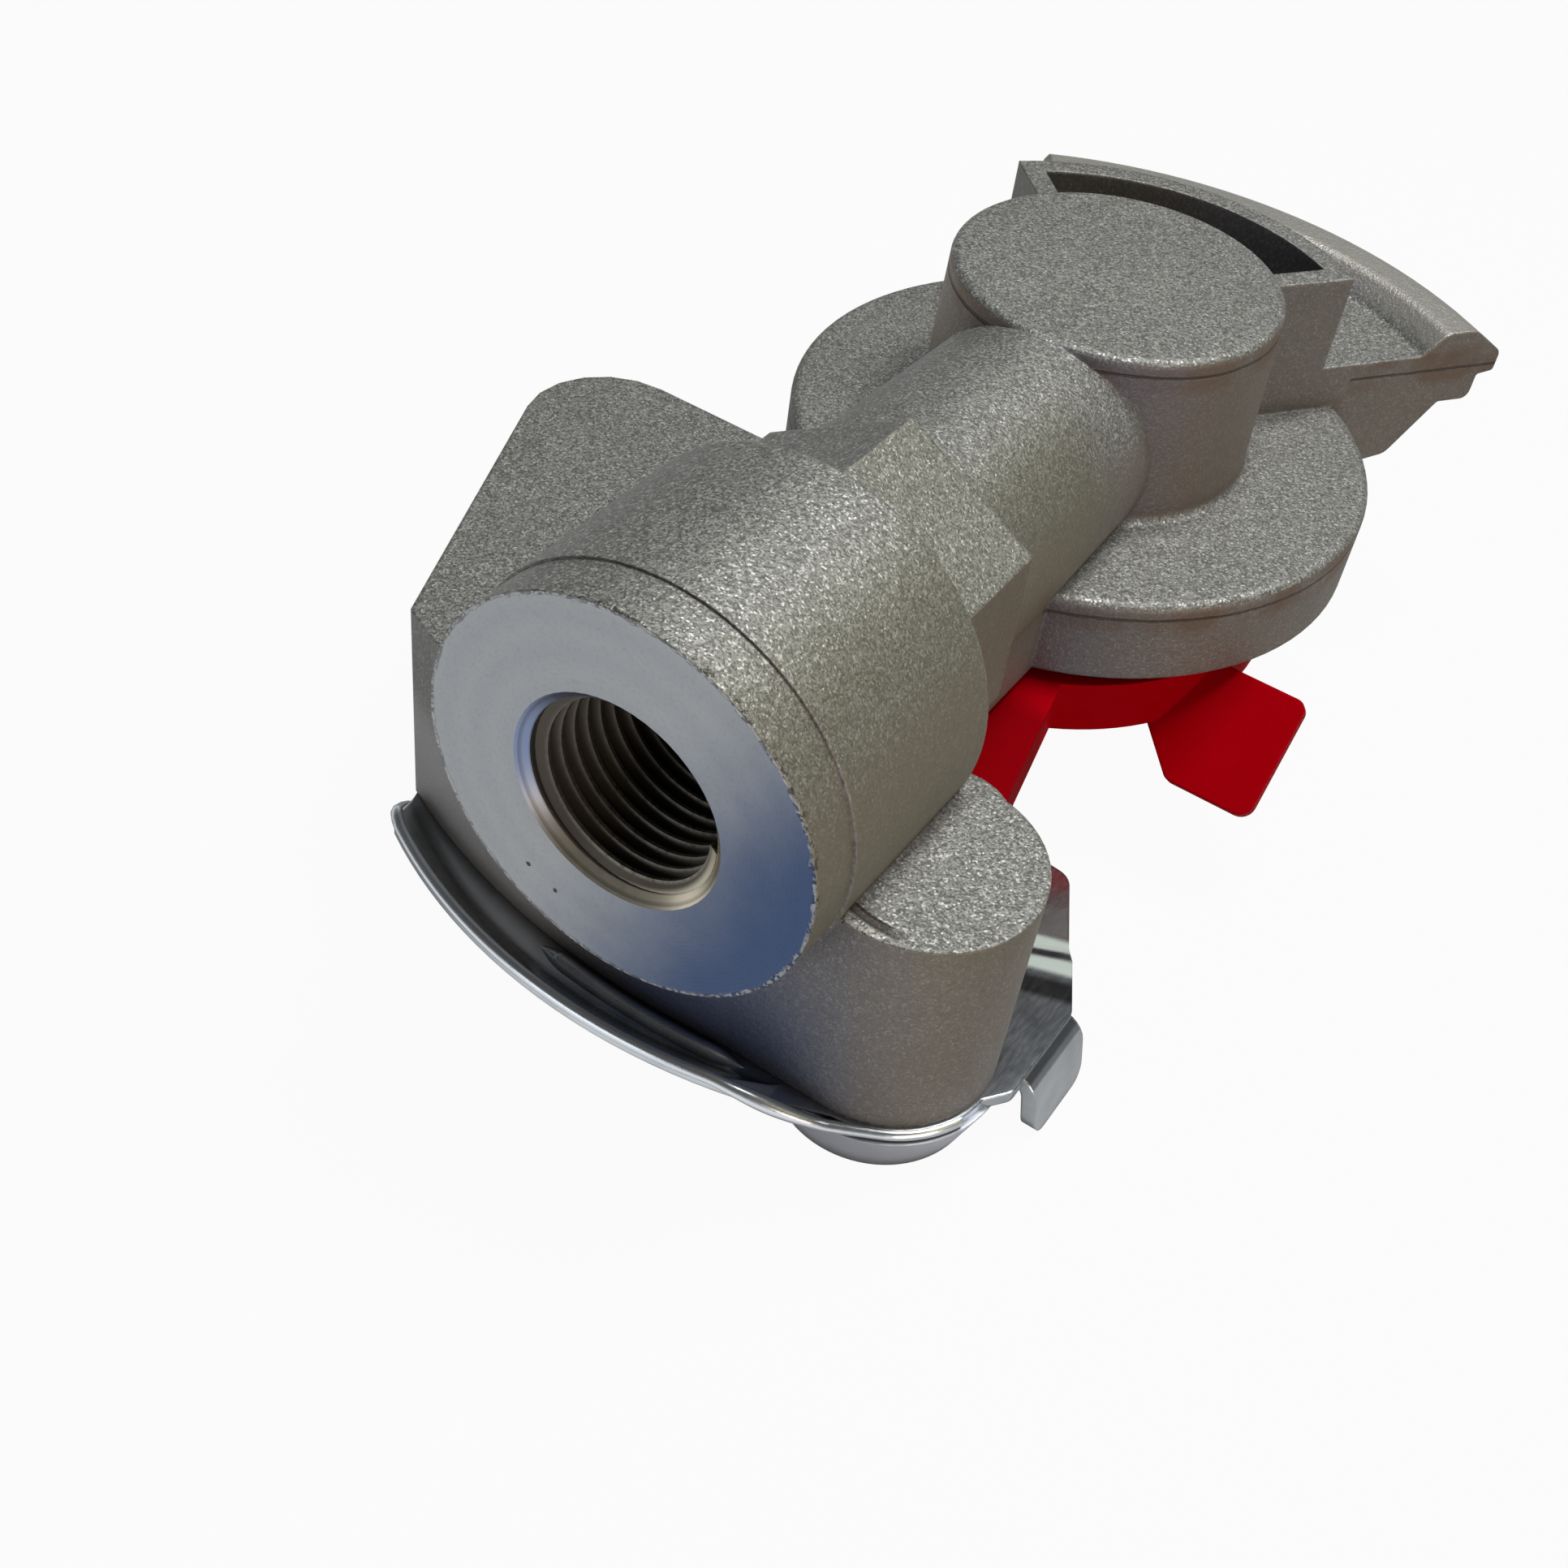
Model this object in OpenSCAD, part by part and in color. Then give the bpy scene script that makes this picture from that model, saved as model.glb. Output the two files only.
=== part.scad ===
// Palm coupling head for an air brake line: a die-cast body with a threaded port, a turret with a
// sealed coupling face, a claw that hooks under the mating head, a riveted steel guide plate and a
// swivelling plastic dust cover. Heights in the modules are measured from the top of the flange and
// plan positions from the turret axis; the finished nodes stand in the frame of the port thread.

/* [Port] */
// Major diameter of the port thread
thread_d = 16; // [12:0.5:20]
// Length of the threaded bore
thread_length = 16; // [10:0.5:20]
// Depth and width of the chamfer at the port mouth
mouth_chamfer = 0.8; // [0.4:0.1:1.4]
// Bore of the air passage behind the thread
passage_d = 11; // [8:0.5:12]
// Diameter of the port boss
boss_d = 33; // [30:0.5:36]
// Length of the port boss
boss_length = 22.4; // [20:0.2:26]
// Length of the turned ring at the front of the boss
ring_length = 4.5; // [2:0.5:8]
// Step from the boss down to its front ring
ring_step = 0.2; // [0.1:0.05:0.8]
// Width across flats of the spanner hexagon
hex_af = 24; // [23:0.5:27]
// Length of the spanner hexagon
hex_length = 13; // [10:0.2:15]
// Diameter of the pipe at the hexagon
pipe_d = 23.4; // [21:0.2:24]
// Taper of the pipe diameter towards the turret
pipe_taper = 1.6; // [0:0.1:3]

/* [Turret and flange] */
// Distance from the port face to the turret axis
port_reach = 71.9; // [69:0.1:76]
// Height of the port axis above the flange
port_rise = 4.5; // [3:0.1:6]
// Diameter of the turret at its top
turret_d = 29.8; // [27:0.2:32]
// Draft of the turret wall on the radius
turret_draft = 0.5; // [0:0.1:1]
// Height of the turret above the flange
turret_h = 15.8; // [14.5:0.1:18]
// Edge round of turret and flange
edge_round = 0.8; // [0.4:0.1:1.2]
// Round at the foot of the turret
foot_round = 0.8; // [0.4:0.1:2]
// Diameter of the coupling flange
flange_d = 54.4; // [50:0.2:58]
// Thickness of the coupling flange
flange_t = 8; // [7:0.1:9]
// Diameter of the air chamber in the turret
chamber_d = 20; // [16:0.5:24]
// Thickness of the turret roof
roof_t = 3.5; // [2.5:0.1:5]

/* [Seal] */
// Outer diameter of the face seal
seal_d = 37; // [33:0.5:40]
// Depth of the seal seat in the flange
seal_depth = 5.5; // [4.5:0.1:6]
// Height of the seal above the coupling face
seal_proud = 0.8; // [0.4:0.1:1.2]
// Size of the bead that keeps the seal in its seat
seal_bead = 0.9; // [0.4:0.1:1.4]

/* [Claw] */
// Outer radius of the claw lip
claw_r = 45; // [43:0.1:47]
// Height of the claw plate above the flange
claw_floor = 4.5; // [3:0.1:6]
// Width of the bead along the claw lip
bead_w = 9.6; // [8:0.1:11]
// Height of the bead above the claw plate
bead_h = 2.3; // [1:0.1:3]
// Thickness of the claw lip below the plate level
lip_t = 5.5; // [4.5:0.1:6.5]
// Radial step under the nose of the lip
nose_step = 1.8; // [1:0.1:2.4]
// Outer radius of the pocket wall behind the turret
pocket_r = 24.1; // [22:0.1:27]
// Wall thickness of the pocket
pocket_wall = 2.1; // [1.6:0.1:3]
// Height of the pocket wall above the flange
pocket_h = 14; // [10:0.1:15]
// Direction of the right end of claw and pocket
claw_right = 54.2; // [48:0.1:60]
// Direction of the left end of the claw
claw_left = 121; // [115:0.1:126]
// Direction of the left end of the pocket
pocket_left = 134.5; // [128:0.1:140]
// Distance of the end faces outside their radial lines
claw_offset = 2.1; // [1:0.1:3]

/* [Base] */
// Depth of the base plateau below the flange top
base_drop = 1; // [0.5:0.1:3]
// Height of the base block
base_h = 20; // [18:0.1:23]
// Radius of the front wall of the base about the turret axis
front_r = 66.8; // [65:0.1:68]
// Radius of the round lobe at the right
lobe_r = 9.1; // [8.5:0.1:10]
// Radius of the path for the mating claw
path_r = 46; // [45.5:0.1:47]
// Clearance between mating claw and casting
path_gap = 0.4; // [0.2:0.1:0.8]

/* [Guide plate] */
// Thickness of the guide plate
plate_t = 1.1; // [0.8:0.1:1.8]
// Inner radius of the guide plate
plate_in_r = 35; // [32:0.2:38]
// Distance of the upturned front edge outside the front wall
edge_reach = 5.6; // [5:0.1:7]
// Depth of the joggle under the claw path
joggle = 1.4; // [0.8:0.1:2]
// Rise of the upturned front edge
edge_rise = 2; // [1:0.1:3]
// Drop of the bent entry tab
tab_drop = 6; // [4:0.1:7]
// Width of the bent entry tab
tab_w = 8.2; // [5:0.1:9]
// Radius of the pressed stiffening bead
press_r = 0.7; // [0.4:0.1:0.9]

/* [Rivets] */
// Shank diameter of the plate rivets
rivet_d = 7; // [5:0.5:8]
// Depth of the rivet shank in the casting
rivet_depth = 11; // [8:0.5:14]
// Largest diameter of the rivet head
rivet_head_d = 20; // [17:0.2:21]
// Diameter of the rivet head at its lower face
rivet_foot_d = 16.6; // [12:0.2:16.8]
// Height of the rivet head
rivet_head_h = 5; // [3:0.1:6]

/* [Dust cover] */
// Diameter of the cover disc
cover_d = 46.4; // [44:0.2:48]
// Depth of the cover from its top to the skirt edge
cover_h = 5.2; // [4:0.1:6]
// Wall thickness of the cover
cover_wall = 2; // [1.5:0.1:2.6]
// Width of the swivel arm
arm_w = 6.6; // [4.5:0.1:7.5]
// Diameter of the hub around the pivot
hub_d = 9; // [8:0.1:10.5]
// Width of the thumb tab
thumb_w = 12; // [9:0.5:15]
// Length of the thumb tab down its slope
thumb_l = 11.5; // [8:0.5:14]
// Slope of the thumb tab below the horizontal
thumb_slope = 45; // [30:1:60]

/* [Pivot] */
// Diameter of the pivot pin
pivot_d = 4; // [3:0.1:4.5]
// Depth of the pin in the lug
pivot_depth = 2.8; // [2:0.1:3]
// Diameter of the pivot head
pivot_head_d = 7.4; // [6:0.1:9]
// Thickness of the pivot head
pivot_head_h = 1; // [0.6:0.1:1.4]
// Thickness of the pivot washer
washer_t = 0.6; // [0.4:0.1:1]

/* [Hidden] */
$fn = 96;

// Overlap that lets cuts pass cleanly through a face
over = 1;
// Radial clearance of seated and running fits
fit = 0.06;
// Gap between faces that slide past each other
slide = 0.3;
// Round of edges that are only broken
broken = 0.3;
hex_sides = 6;

// The frame's origin: the first full thread on the port axis
frame_shift = [0, port_reach - mouth_chamfer, -port_rise];

// Heights of the main levels
coupling_z = -flange_t;
base_top = -base_drop;
base_bottom = base_top - base_h;
seal_face = coupling_z - seal_proud;
cover_top = seal_face - slide;
cover_bottom = cover_top - cover_h;
washer_top = cover_bottom - slide;

// Lug over the hub of the cover, behind the right lobe
lug_face = cover_top + slide;
lug_t = 3.4;
lug_d = hub_d + 1.4;

// Claw: inner edge of its bead, underside of its lip, rise and width of the slanting heel below it
bead_in = claw_r - bead_w;
lip_low = claw_floor - lip_t;
heel_rise = 1.4;
heel_w = 4.2;

// Path of the mating claw: radius kept clear for the mating flange, stop beyond the coupled claw, sweep
clear_r = flange_d / 2 + 0.8;
path_stop = 6;
path_sweep = 105;

// Centres of the rivets under the two lobes
lobe_at = [17.2, -57.2];
left_rivet_at = [-19.5, -55.5];

// Pivot of the cover, the point of the disc to which the arm runs, and the angle it swings through
pivot_at = [14.4, -48];
arm_to = [8.8, -21.2];
arm_run = arm_to - pivot_at;
arm_turn = atan2(arm_run.y, arm_run.x);
cover_swing = 95;

// Centre of the cover disc, upper right corner of the thumb tab outside and before it, size of its cut corner
cover_at = [0, -4.6];
thumb_out = 7.8;
thumb_set = 7;
thumb_at = cover_at + [cover_d / 2 + thumb_out, -thumb_set];
thumb_cut = 4;

// Plan outline of the left lobe and the middle of the base, with the round of each corner
base_plan = [[-26.3, -66], [10, -70], [12, -44], [8, -36], [-6, -20], [-20.5, -21.5], [-44.3, -21.3]];
base_rounds = [3.5, 0.5, 3, 3, 3, 2, 7.7];

// Entry tab: corner of the plate from which it runs, inner radius of its bend, round of its lower corners
tab_corner = [28.2, -46];
tab_bend = 1.4;
tab_round = 1.6;

// Plan outline of the guide plate with the round of each corner
plate_plan = [
    [-26, -66.6],
    [-10, -75.5],
    [17, -75.5],
    [20.6, -66.4],
    [tab_corner.x, -56],
    tab_corner,
    [20.5, -31],
    [0, -29],
    [-26, -24],
    [-39.5, -31]
];
plate_rounds = [7, 3, 3, 3, 1.5, 2, 2, 1, 2, 6];

// Upturned front edge of the guide plate: centre of its arc, its outer radius, width and foot about that centre,
// its right end, the run over which it fades out there, the lead of its slope, the inner radius of its bend
// and the width by which the flat plate falls short of it
edge_at = [-1.6, -22.7];
edge_r = front_r + edge_reach + edge_at.y;
edge_w = 3;
edge_foot = edge_r - edge_w;
edge_right = 13.6;
edge_fade = 6;
edge_lead = 0.5;
edge_bend = 1.5;
edge_short = 1.5;

// Slanting run of the joggle, margin of the plate around the right lobe, outward lean of the entry tab
joggle_run = 2.6;
lobe_margin = 0.4;
tab_lean = 0.2;

// Pressed stiffening bead: its radius about the turret axis, its start and its sweep
press_at = front_r + 1.1;
press_from = -96;
press_sweep = 13;

function unit(v) = v / norm(v);

// Points of a round of radius r at corner p between neighbours a and b
function corner(a, p, b, r, steps = 6) =
    let (
        u = unit(a - p),
        v = unit(b - p),
        half = acos(u * v) / 2,
        centre = p + unit(u + v) * r / sin(half),
        start = p + u * r / tan(half) - centre,
        end = p + v * r / tan(half) - centre,
        from = atan2(start.y, start.x),
        sweep = (atan2(end.y, end.x) - from + 540) % 360 - 180
    )
    [for (i = [0 : steps]) centre + r * [cos(from + sweep * i / steps), sin(from + sweep * i / steps)]];

// A polygon with its corners rounded, apart from those whose round is 0
module rounded(points, rounds) {
    n = len(points);
    polygon([
        for (i = [0 : n - 1])
            each rounds[i] == 0
                ? [points[i]]
                : corner(points[(i + n - 1) % n], points[i], points[(i + 1) % n], rounds[i])
    ]);
}

// Places children on the port axis, their +Z pointing from the port face to the turret
module on_port(depth) {
    translate([0, depth - port_reach, port_rise])
        rotate([-90, 0, 0])
            children();
}

// A plan shape raised between two heights
module raised(low, high) {
    translate([0, 0, low])
        linear_extrude(high - low)
            children();
}

// Point at a distance along a direction, offset to its right (side 1) or its left (side -1)
function end_point(angle, side, offset, along) =
    offset * side * [sin(angle), -cos(angle)] + along * [cos(angle), sin(angle)];

// Plan sector behind the turret up to a left end, its end faces moved in by a margin
module rear_sector(left, margin = 0) {
    reach = 2 * claw_r;
    polygon([
        end_point(claw_right, 1, claw_offset - margin, 0),
        end_point(claw_right, 1, claw_offset - margin, reach),
        end_point(left, -1, claw_offset - margin, reach),
        end_point(left, -1, claw_offset - margin, 0)
    ]);
}

// Half section of turret and flange with rounded upper edges
module turret_section() {
    foot = turret_d / 2 + turret_draft;
    top = turret_d / 2;
    flange_r = flange_d / 2;
    rounded(
        [[0, coupling_z], [flange_r, coupling_z], [flange_r, 0], [foot, 0], [top, turret_h], [0, turret_h]],
        [0, broken, edge_round, foot_round, edge_round, 0]
    );
}

// Half section of the claw: plate, bead along the lip, stepped nose and slanting underside
module claw_section() {
    bead_top = claw_floor + bead_h;
    nose_in = claw_r - nose_step;
    nose_z = claw_floor - lip_t / 2;
    rounded(
        [
            [turret_d / 2, coupling_z],
            [flange_d / 2, coupling_z],
            [bead_in, coupling_z + heel_rise],
            [bead_in + heel_w, lip_low],
            [nose_in, lip_low],
            [nose_in, nose_z],
            [claw_r, nose_z + broken],
            [claw_r, claw_floor - broken],
            [claw_r - bead_w * 0.4, bead_top],
            [bead_in + bead_w * 0.25, bead_top],
            [bead_in, claw_floor],
            [turret_d / 2, claw_floor]
        ],
        [0, 0.5, 1.5, 0.5, 0.9, broken, broken, 1.2, 2.6, 1.6, 0.8, 0]
    );
}

module turret_and_flange() {
    rotate_extrude() turret_section();
}

module claw() {
    intersection() {
        rotate_extrude() claw_section();
        raised(coupling_z - over, turret_h) rear_sector(claw_left);
    }
    difference() {
        raised(0, pocket_h)
            intersection() {
                rear_sector(pocket_left);
                circle(pocket_r);
            }
        raised(over, turret_h)
            intersection() {
                rear_sector(pocket_left, pocket_wall);
                circle(pocket_r - pocket_wall);
            }
    }
}

// Pipe from the turret to the hexagon, with a straight-sided web below it
module pipe() {
    hex_end = boss_length + hex_length;
    run = port_reach - hex_end + over;
    web_w = pipe_d - 2 * pipe_taper;
    on_port(hex_end - over) cylinder(d1 = pipe_d, d2 = pipe_d - pipe_taper, h = run - turret_d / 4);
    raised(coupling_z, port_rise)
        translate([-web_w / 2, hex_end - over - port_reach])
            square([web_w, run]);
}

module port_boss() {
    on_port(0) cylinder(d = boss_d - 2 * ring_step, h = boss_length);
    on_port(ring_length) cylinder(d = boss_d, h = boss_length - ring_length);
    on_port(boss_length - over)
        rotate(180 / hex_sides)
            cylinder(d = hex_af / cos(180 / hex_sides), h = hex_length + over, $fn = hex_sides);
}

module base_block() {
    raised(base_bottom, base_top) {
        intersection() {
            rounded(base_plan, base_rounds);
            circle(front_r);
        }
        translate(lobe_at) circle(lobe_r);
        translate([0, lobe_at.y - lobe_r]) square([lobe_at.x, lobe_r]);
    }
    raised(lug_face, lug_face + lug_t) translate(pivot_at) circle(d = lug_d);
}

// Room for the flange and the claw of the mating head, open to the right
module claw_path() {
    ceiling = coupling_z - path_gap;
    mate_top = 2 * coupling_z - lip_low + path_gap;
    raised(base_bottom - over, ceiling + path_gap / 2) circle(clear_r);
    rotate([0, 0, -claw_left - path_stop])
        rotate_extrude(angle = path_sweep)
            polygon([
                [flange_d / 2, ceiling],
                [bead_in - path_gap, ceiling],
                [bead_in + heel_w, mate_top],
                [path_r, mate_top],
                [path_r, base_bottom - over],
                [flange_d / 2, base_bottom - over]
            ]);
}

// Room in which the hub and the arm of the cover swing out to the right
module cover_bay() {
    bay_r = hub_d / 2 + slide;
    reach = norm(arm_run);
    raised(base_bottom - over, lug_face)
        translate(pivot_at) {
            circle(bay_r);
            polygon([
                end_point(arm_turn, -1, bay_r, 0),
                end_point(arm_turn, -1, bay_r, reach),
                end_point(arm_turn - cover_swing / 2, 1, 0, 2 * reach),
                end_point(arm_turn - cover_swing, 1, bay_r, reach),
                end_point(arm_turn - cover_swing, 1, bay_r, 0)
            ]);
        }
}

module port_bore() {
    bore_r = thread_d / 2;
    on_port(-over) cylinder(r1 = bore_r + mouth_chamfer + over, r2 = bore_r, h = mouth_chamfer + over);
    on_port(0) cylinder(r = bore_r, h = mouth_chamfer + thread_length);
    on_port(thread_length) cylinder(d = passage_d, h = port_reach - thread_length);
}

// Half section of the seal seat or of the seal itself, with its retaining bead
module seal_section(outer, depth, low) {
    difference() {
        union() {
            translate([0, low]) square([outer, coupling_z + depth - low]);
            translate([outer - seal_bead / 2, coupling_z + depth * 0.6]) circle(seal_bead);
        }
        translate([-outer, low]) square([outer, 2 * outer]);
    }
}

module body() {
    color("darkgray")
        translate(frame_shift)
            difference() {
                union() {
                    turret_and_flange();
                    claw();
                    pipe();
                    port_boss();
                    base_block();
                }
                port_bore();
                raised(coupling_z - over, turret_h - roof_t) circle(d = chamber_d);
                rotate_extrude() seal_section(seal_d / 2 + fit, seal_depth, coupling_z - over);
                claw_path();
                cover_bay();
                for (at = [lobe_at, left_rivet_at])
                    raised(base_bottom - over, base_bottom + rivet_depth + fit)
                        translate(at) circle(d = rivet_d + 2 * fit);
                raised(lug_face - over, lug_face + pivot_depth + fit)
                    translate(pivot_at) circle(d = pivot_d + 2 * fit);
            }
}

module face_seal() {
    lip_w = (seal_d - chamber_d) / 4;
    color([0.08, 0.08, 0.08])
        translate(frame_shift)
            rotate_extrude()
                difference() {
                    seal_section(seal_d / 2, seal_depth, seal_face);
                    translate([0, seal_face - over])
                        square([chamber_d / 2, seal_depth + 2 * over + seal_proud]);
                    translate([chamber_d / 2 + lip_w, seal_face]) circle(lip_w / 3);
                }
}

// Half section of the guide plate, from the claw path out to the front wall
module plate_section() {
    low_in = base_bottom - joggle;
    polygon([
        [plate_in_r, low_in - plate_t],
        [path_r + broken, low_in - plate_t],
        [path_r + joggle_run + broken, base_bottom - plate_t],
        [front_r + edge_reach, base_bottom - plate_t],
        [front_r + edge_reach, base_bottom],
        [path_r + joggle_run - broken, base_bottom],
        [path_r - broken, low_in],
        [plate_in_r, low_in]
    ]);
}

// Half section of the upturned front edge with its foot in the plate
module edge_section() {
    tip = base_bottom + edge_rise;
    inner = edge_foot - edge_bend;
    rounded(
        [
            [inner, base_bottom - plate_t],
            [edge_foot + edge_lead, base_bottom - plate_t],
            [edge_r, tip - plate_t],
            [edge_r, tip],
            [edge_r - plate_t / 2, tip],
            [edge_foot, base_bottom],
            [inner, base_bottom]
        ],
        [0, edge_bend + plate_t, broken, broken, broken, edge_bend, 0]
    );
}

// Room for the upturned edge between two heights, falling to the plate at the right end
module edge_room(tall) {
    rotate([90, 0, 0])
        linear_extrude(2 * claw_r)
            polygon([
                [-2 * claw_r, tall[0]],
                [edge_right, tall[0]],
                [edge_right, base_bottom],
                [edge_right - edge_fade, tall[1]],
                [-2 * claw_r, tall[1]]
            ]);
}

// Plan of the flat part of the guide plate, up to the foot of the upturned edge
module flat_plan() {
    intersection() {
        rounded(plate_plan, plate_rounds);
        union() {
            translate(edge_at) circle(edge_foot);
            intersection() {
                translate(edge_at) circle(edge_r - edge_short);
                translate([edge_right, -2 * claw_r]) square(2 * claw_r);
            }
        }
    }
}

// Entry tab: bent down beside the lobe, to lead the mating claw in
module entry_tab() {
    inner = tab_corner.x - 2 * tab_bend - plate_t;
    bend = [tab_corner.x, -plate_t];
    skin = bend + [plate_t, plate_t];
    tip = (tab_drop + over) * [tab_lean, -1];
    front = tab_corner.y - tab_w;
    translate([0, 0, base_bottom])
        intersection() {
            translate([0, tab_corner.y, 0])
                rotate([90, 0, 0])
                    linear_extrude(tab_w)
                        rounded(
                            [[inner, 0], skin, skin + tip, bend + tip, bend, [inner, -plate_t]],
                            [0, tab_bend + plate_t, 0, 0, tab_bend, 0]
                        );
            rotate([90, 0, 90])
                linear_extrude(2 * tab_corner.x)
                    rounded(
                        [[front, over], [front, -tab_drop], [tab_corner.y, -tab_drop], [tab_corner.y, over]],
                        [0, tab_round, tab_round, 0]
                    );
        }
}

module guide_plate() {
    tall = [base_bottom - joggle - 2 * plate_t, base_bottom + edge_rise + over];
    color("gainsboro")
        translate(frame_shift)
            difference() {
                union() {
                    intersection() {
                        rotate_extrude() plate_section();
                        raised(tall[0], tall[1]) flat_plan();
                    }
                    intersection() {
                        translate(edge_at) rotate_extrude() edge_section();
                        raised(tall[0], tall[1]) rounded(plate_plan, plate_rounds);
                        edge_room(tall);
                    }
                    raised(base_bottom - plate_t, base_bottom)
                        translate(lobe_at) circle(lobe_r + lobe_margin);
                    entry_tab();
                    rotate([0, 0, press_from])
                        rotate_extrude(angle = press_sweep)
                            translate([press_at, base_bottom]) circle(press_r, $fn = 24);
                    for (end = [press_from, press_from + press_sweep])
                        rotate([0, 0, end]) translate([press_at, 0, base_bottom]) sphere(press_r);
                }
                for (at = [lobe_at, left_rivet_at])
                    raised(tall[0] - over, tall[1]) translate(at) circle(d = rivet_d + 2 * fit);
            }
}

module plate_rivets() {
    head_top = base_bottom - plate_t;
    color("silver")
        translate(frame_shift)
            for (at = [lobe_at, left_rivet_at])
                translate([at.x, at.y, head_top]) {
                    cylinder(d = rivet_d, h = plate_t + rivet_depth);
                    translate([0, 0, -rivet_head_h])
                        cylinder(d1 = rivet_foot_d, d2 = rivet_head_d, h = rivet_head_h);
                }
}

// Plan of the cover arm from the hub to the disc
module arm_plan() {
    translate(pivot_at)
        rotate(arm_turn)
            translate([0, -arm_w / 2])
                square([norm(arm_run), arm_w]);
}

// Thumb tab that slopes down beside the disc
module thumb_tab() {
    translate([thumb_at.x - thumb_w, thumb_at.y, cover_top])
        rotate([thumb_slope, 0, 0])
            translate([0, -thumb_l, -cover_wall])
                linear_extrude(cover_wall)
                    rounded(
                        [[0, thumb_cut], [thumb_cut, 0], [thumb_w, 0], [thumb_w, thumb_l], [0, thumb_l]],
                        [1, 1, 1.4, 1, broken]
                    );
}

module dust_cover() {
    inner_d = cover_d - 2 * cover_wall;
    color("firebrick")
        translate(frame_shift)
            difference() {
                union() {
                    difference() {
                        raised(cover_bottom, cover_top) {
                            translate(cover_at) circle(d = cover_d);
                            arm_plan();
                            translate(pivot_at) circle(d = hub_d);
                        }
                        raised(cover_bottom - over, cover_top - cover_wall)
                            translate(cover_at)
                                circle(d = inner_d);
                    }
                    thumb_tab();
                }
                raised(cover_bottom - over, cover_top + over)
                    translate(pivot_at) circle(d = pivot_d + 2 * fit);
            }
}

module pivot_washer() {
    color("lightgray")
        translate(frame_shift)
            raised(washer_top - washer_t, washer_top)
                translate(pivot_at)
                    difference() {
                        circle(d = pivot_head_d + 0.8);
                        circle(d = pivot_d + 2 * fit);
                    }
}

module pivot_pin() {
    head_top = washer_top - washer_t;
    color("silver")
        translate(frame_shift) {
            raised(head_top, lug_face + pivot_depth) translate(pivot_at) circle(d = pivot_d);
            raised(head_top - pivot_head_h, head_top) translate(pivot_at) circle(d = pivot_head_d);
        }
}

body();
face_seal();
guide_plate();
plate_rivets();
dust_cover();
pivot_pin();
pivot_washer();
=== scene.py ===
"""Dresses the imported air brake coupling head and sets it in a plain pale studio.

Lengths in the dataclasses are millimetres in the frame of the port thread: the origin lies on the
thread's axis 0.8 mm inside the turned face, -Y points out of the port and +Z is up.
"""

from __future__ import annotations

import logging
import math
from dataclasses import dataclass, field
from enum import Enum
from typing import Any, Callable, Sequence, Union

import bpy
from mathutils import Matrix, Vector


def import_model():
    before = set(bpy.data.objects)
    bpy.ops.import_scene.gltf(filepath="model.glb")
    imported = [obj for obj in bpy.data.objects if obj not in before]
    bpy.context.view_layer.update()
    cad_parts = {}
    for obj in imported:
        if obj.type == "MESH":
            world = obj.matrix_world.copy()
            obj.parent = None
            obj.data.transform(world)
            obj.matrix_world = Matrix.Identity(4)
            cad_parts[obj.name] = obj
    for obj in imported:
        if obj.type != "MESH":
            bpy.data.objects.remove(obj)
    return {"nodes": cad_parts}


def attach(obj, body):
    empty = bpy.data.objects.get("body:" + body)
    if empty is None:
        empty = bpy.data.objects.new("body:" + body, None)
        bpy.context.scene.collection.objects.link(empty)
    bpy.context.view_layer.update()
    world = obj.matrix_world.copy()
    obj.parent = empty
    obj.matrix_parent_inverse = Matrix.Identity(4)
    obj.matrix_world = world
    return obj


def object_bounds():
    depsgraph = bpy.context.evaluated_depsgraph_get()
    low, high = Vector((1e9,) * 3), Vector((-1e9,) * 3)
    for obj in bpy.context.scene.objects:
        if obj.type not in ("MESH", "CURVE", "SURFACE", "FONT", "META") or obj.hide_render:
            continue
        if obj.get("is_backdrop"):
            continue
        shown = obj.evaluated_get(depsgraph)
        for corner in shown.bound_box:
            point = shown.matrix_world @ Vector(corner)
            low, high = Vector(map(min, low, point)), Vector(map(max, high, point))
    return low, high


LOG = logging.getLogger("coupling_head")
MM = 0.001

Colour = tuple[float, float, float]
Point = tuple[float, float, float]
Span = tuple[float, float]
Number = Union[float, int, "Value"]
Axes = tuple["Value", "Value", "Value"]

WHITE: Colour = (1.0, 1.0, 1.0)
BLACK: Colour = (0.0, 0.0, 0.0)

# Places that several pieces share: the turned face, the turret's axis and the right lobe's.
FACE_Y = -0.8
TURRET_Y = 71.1
LOBE_AT: Span = (17.2, 13.9)


class Body(Enum):
    """The CAD bodies that pieces ride on."""

    HEAD = "head"
    COVER = "cover"


class Slot(Enum):
    """The record's material slots."""

    CASTING = "casting"
    RUBBER = "seal_rubber"
    STEEL = "plated_steel"
    PLASTIC = "red_plastic"


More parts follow.
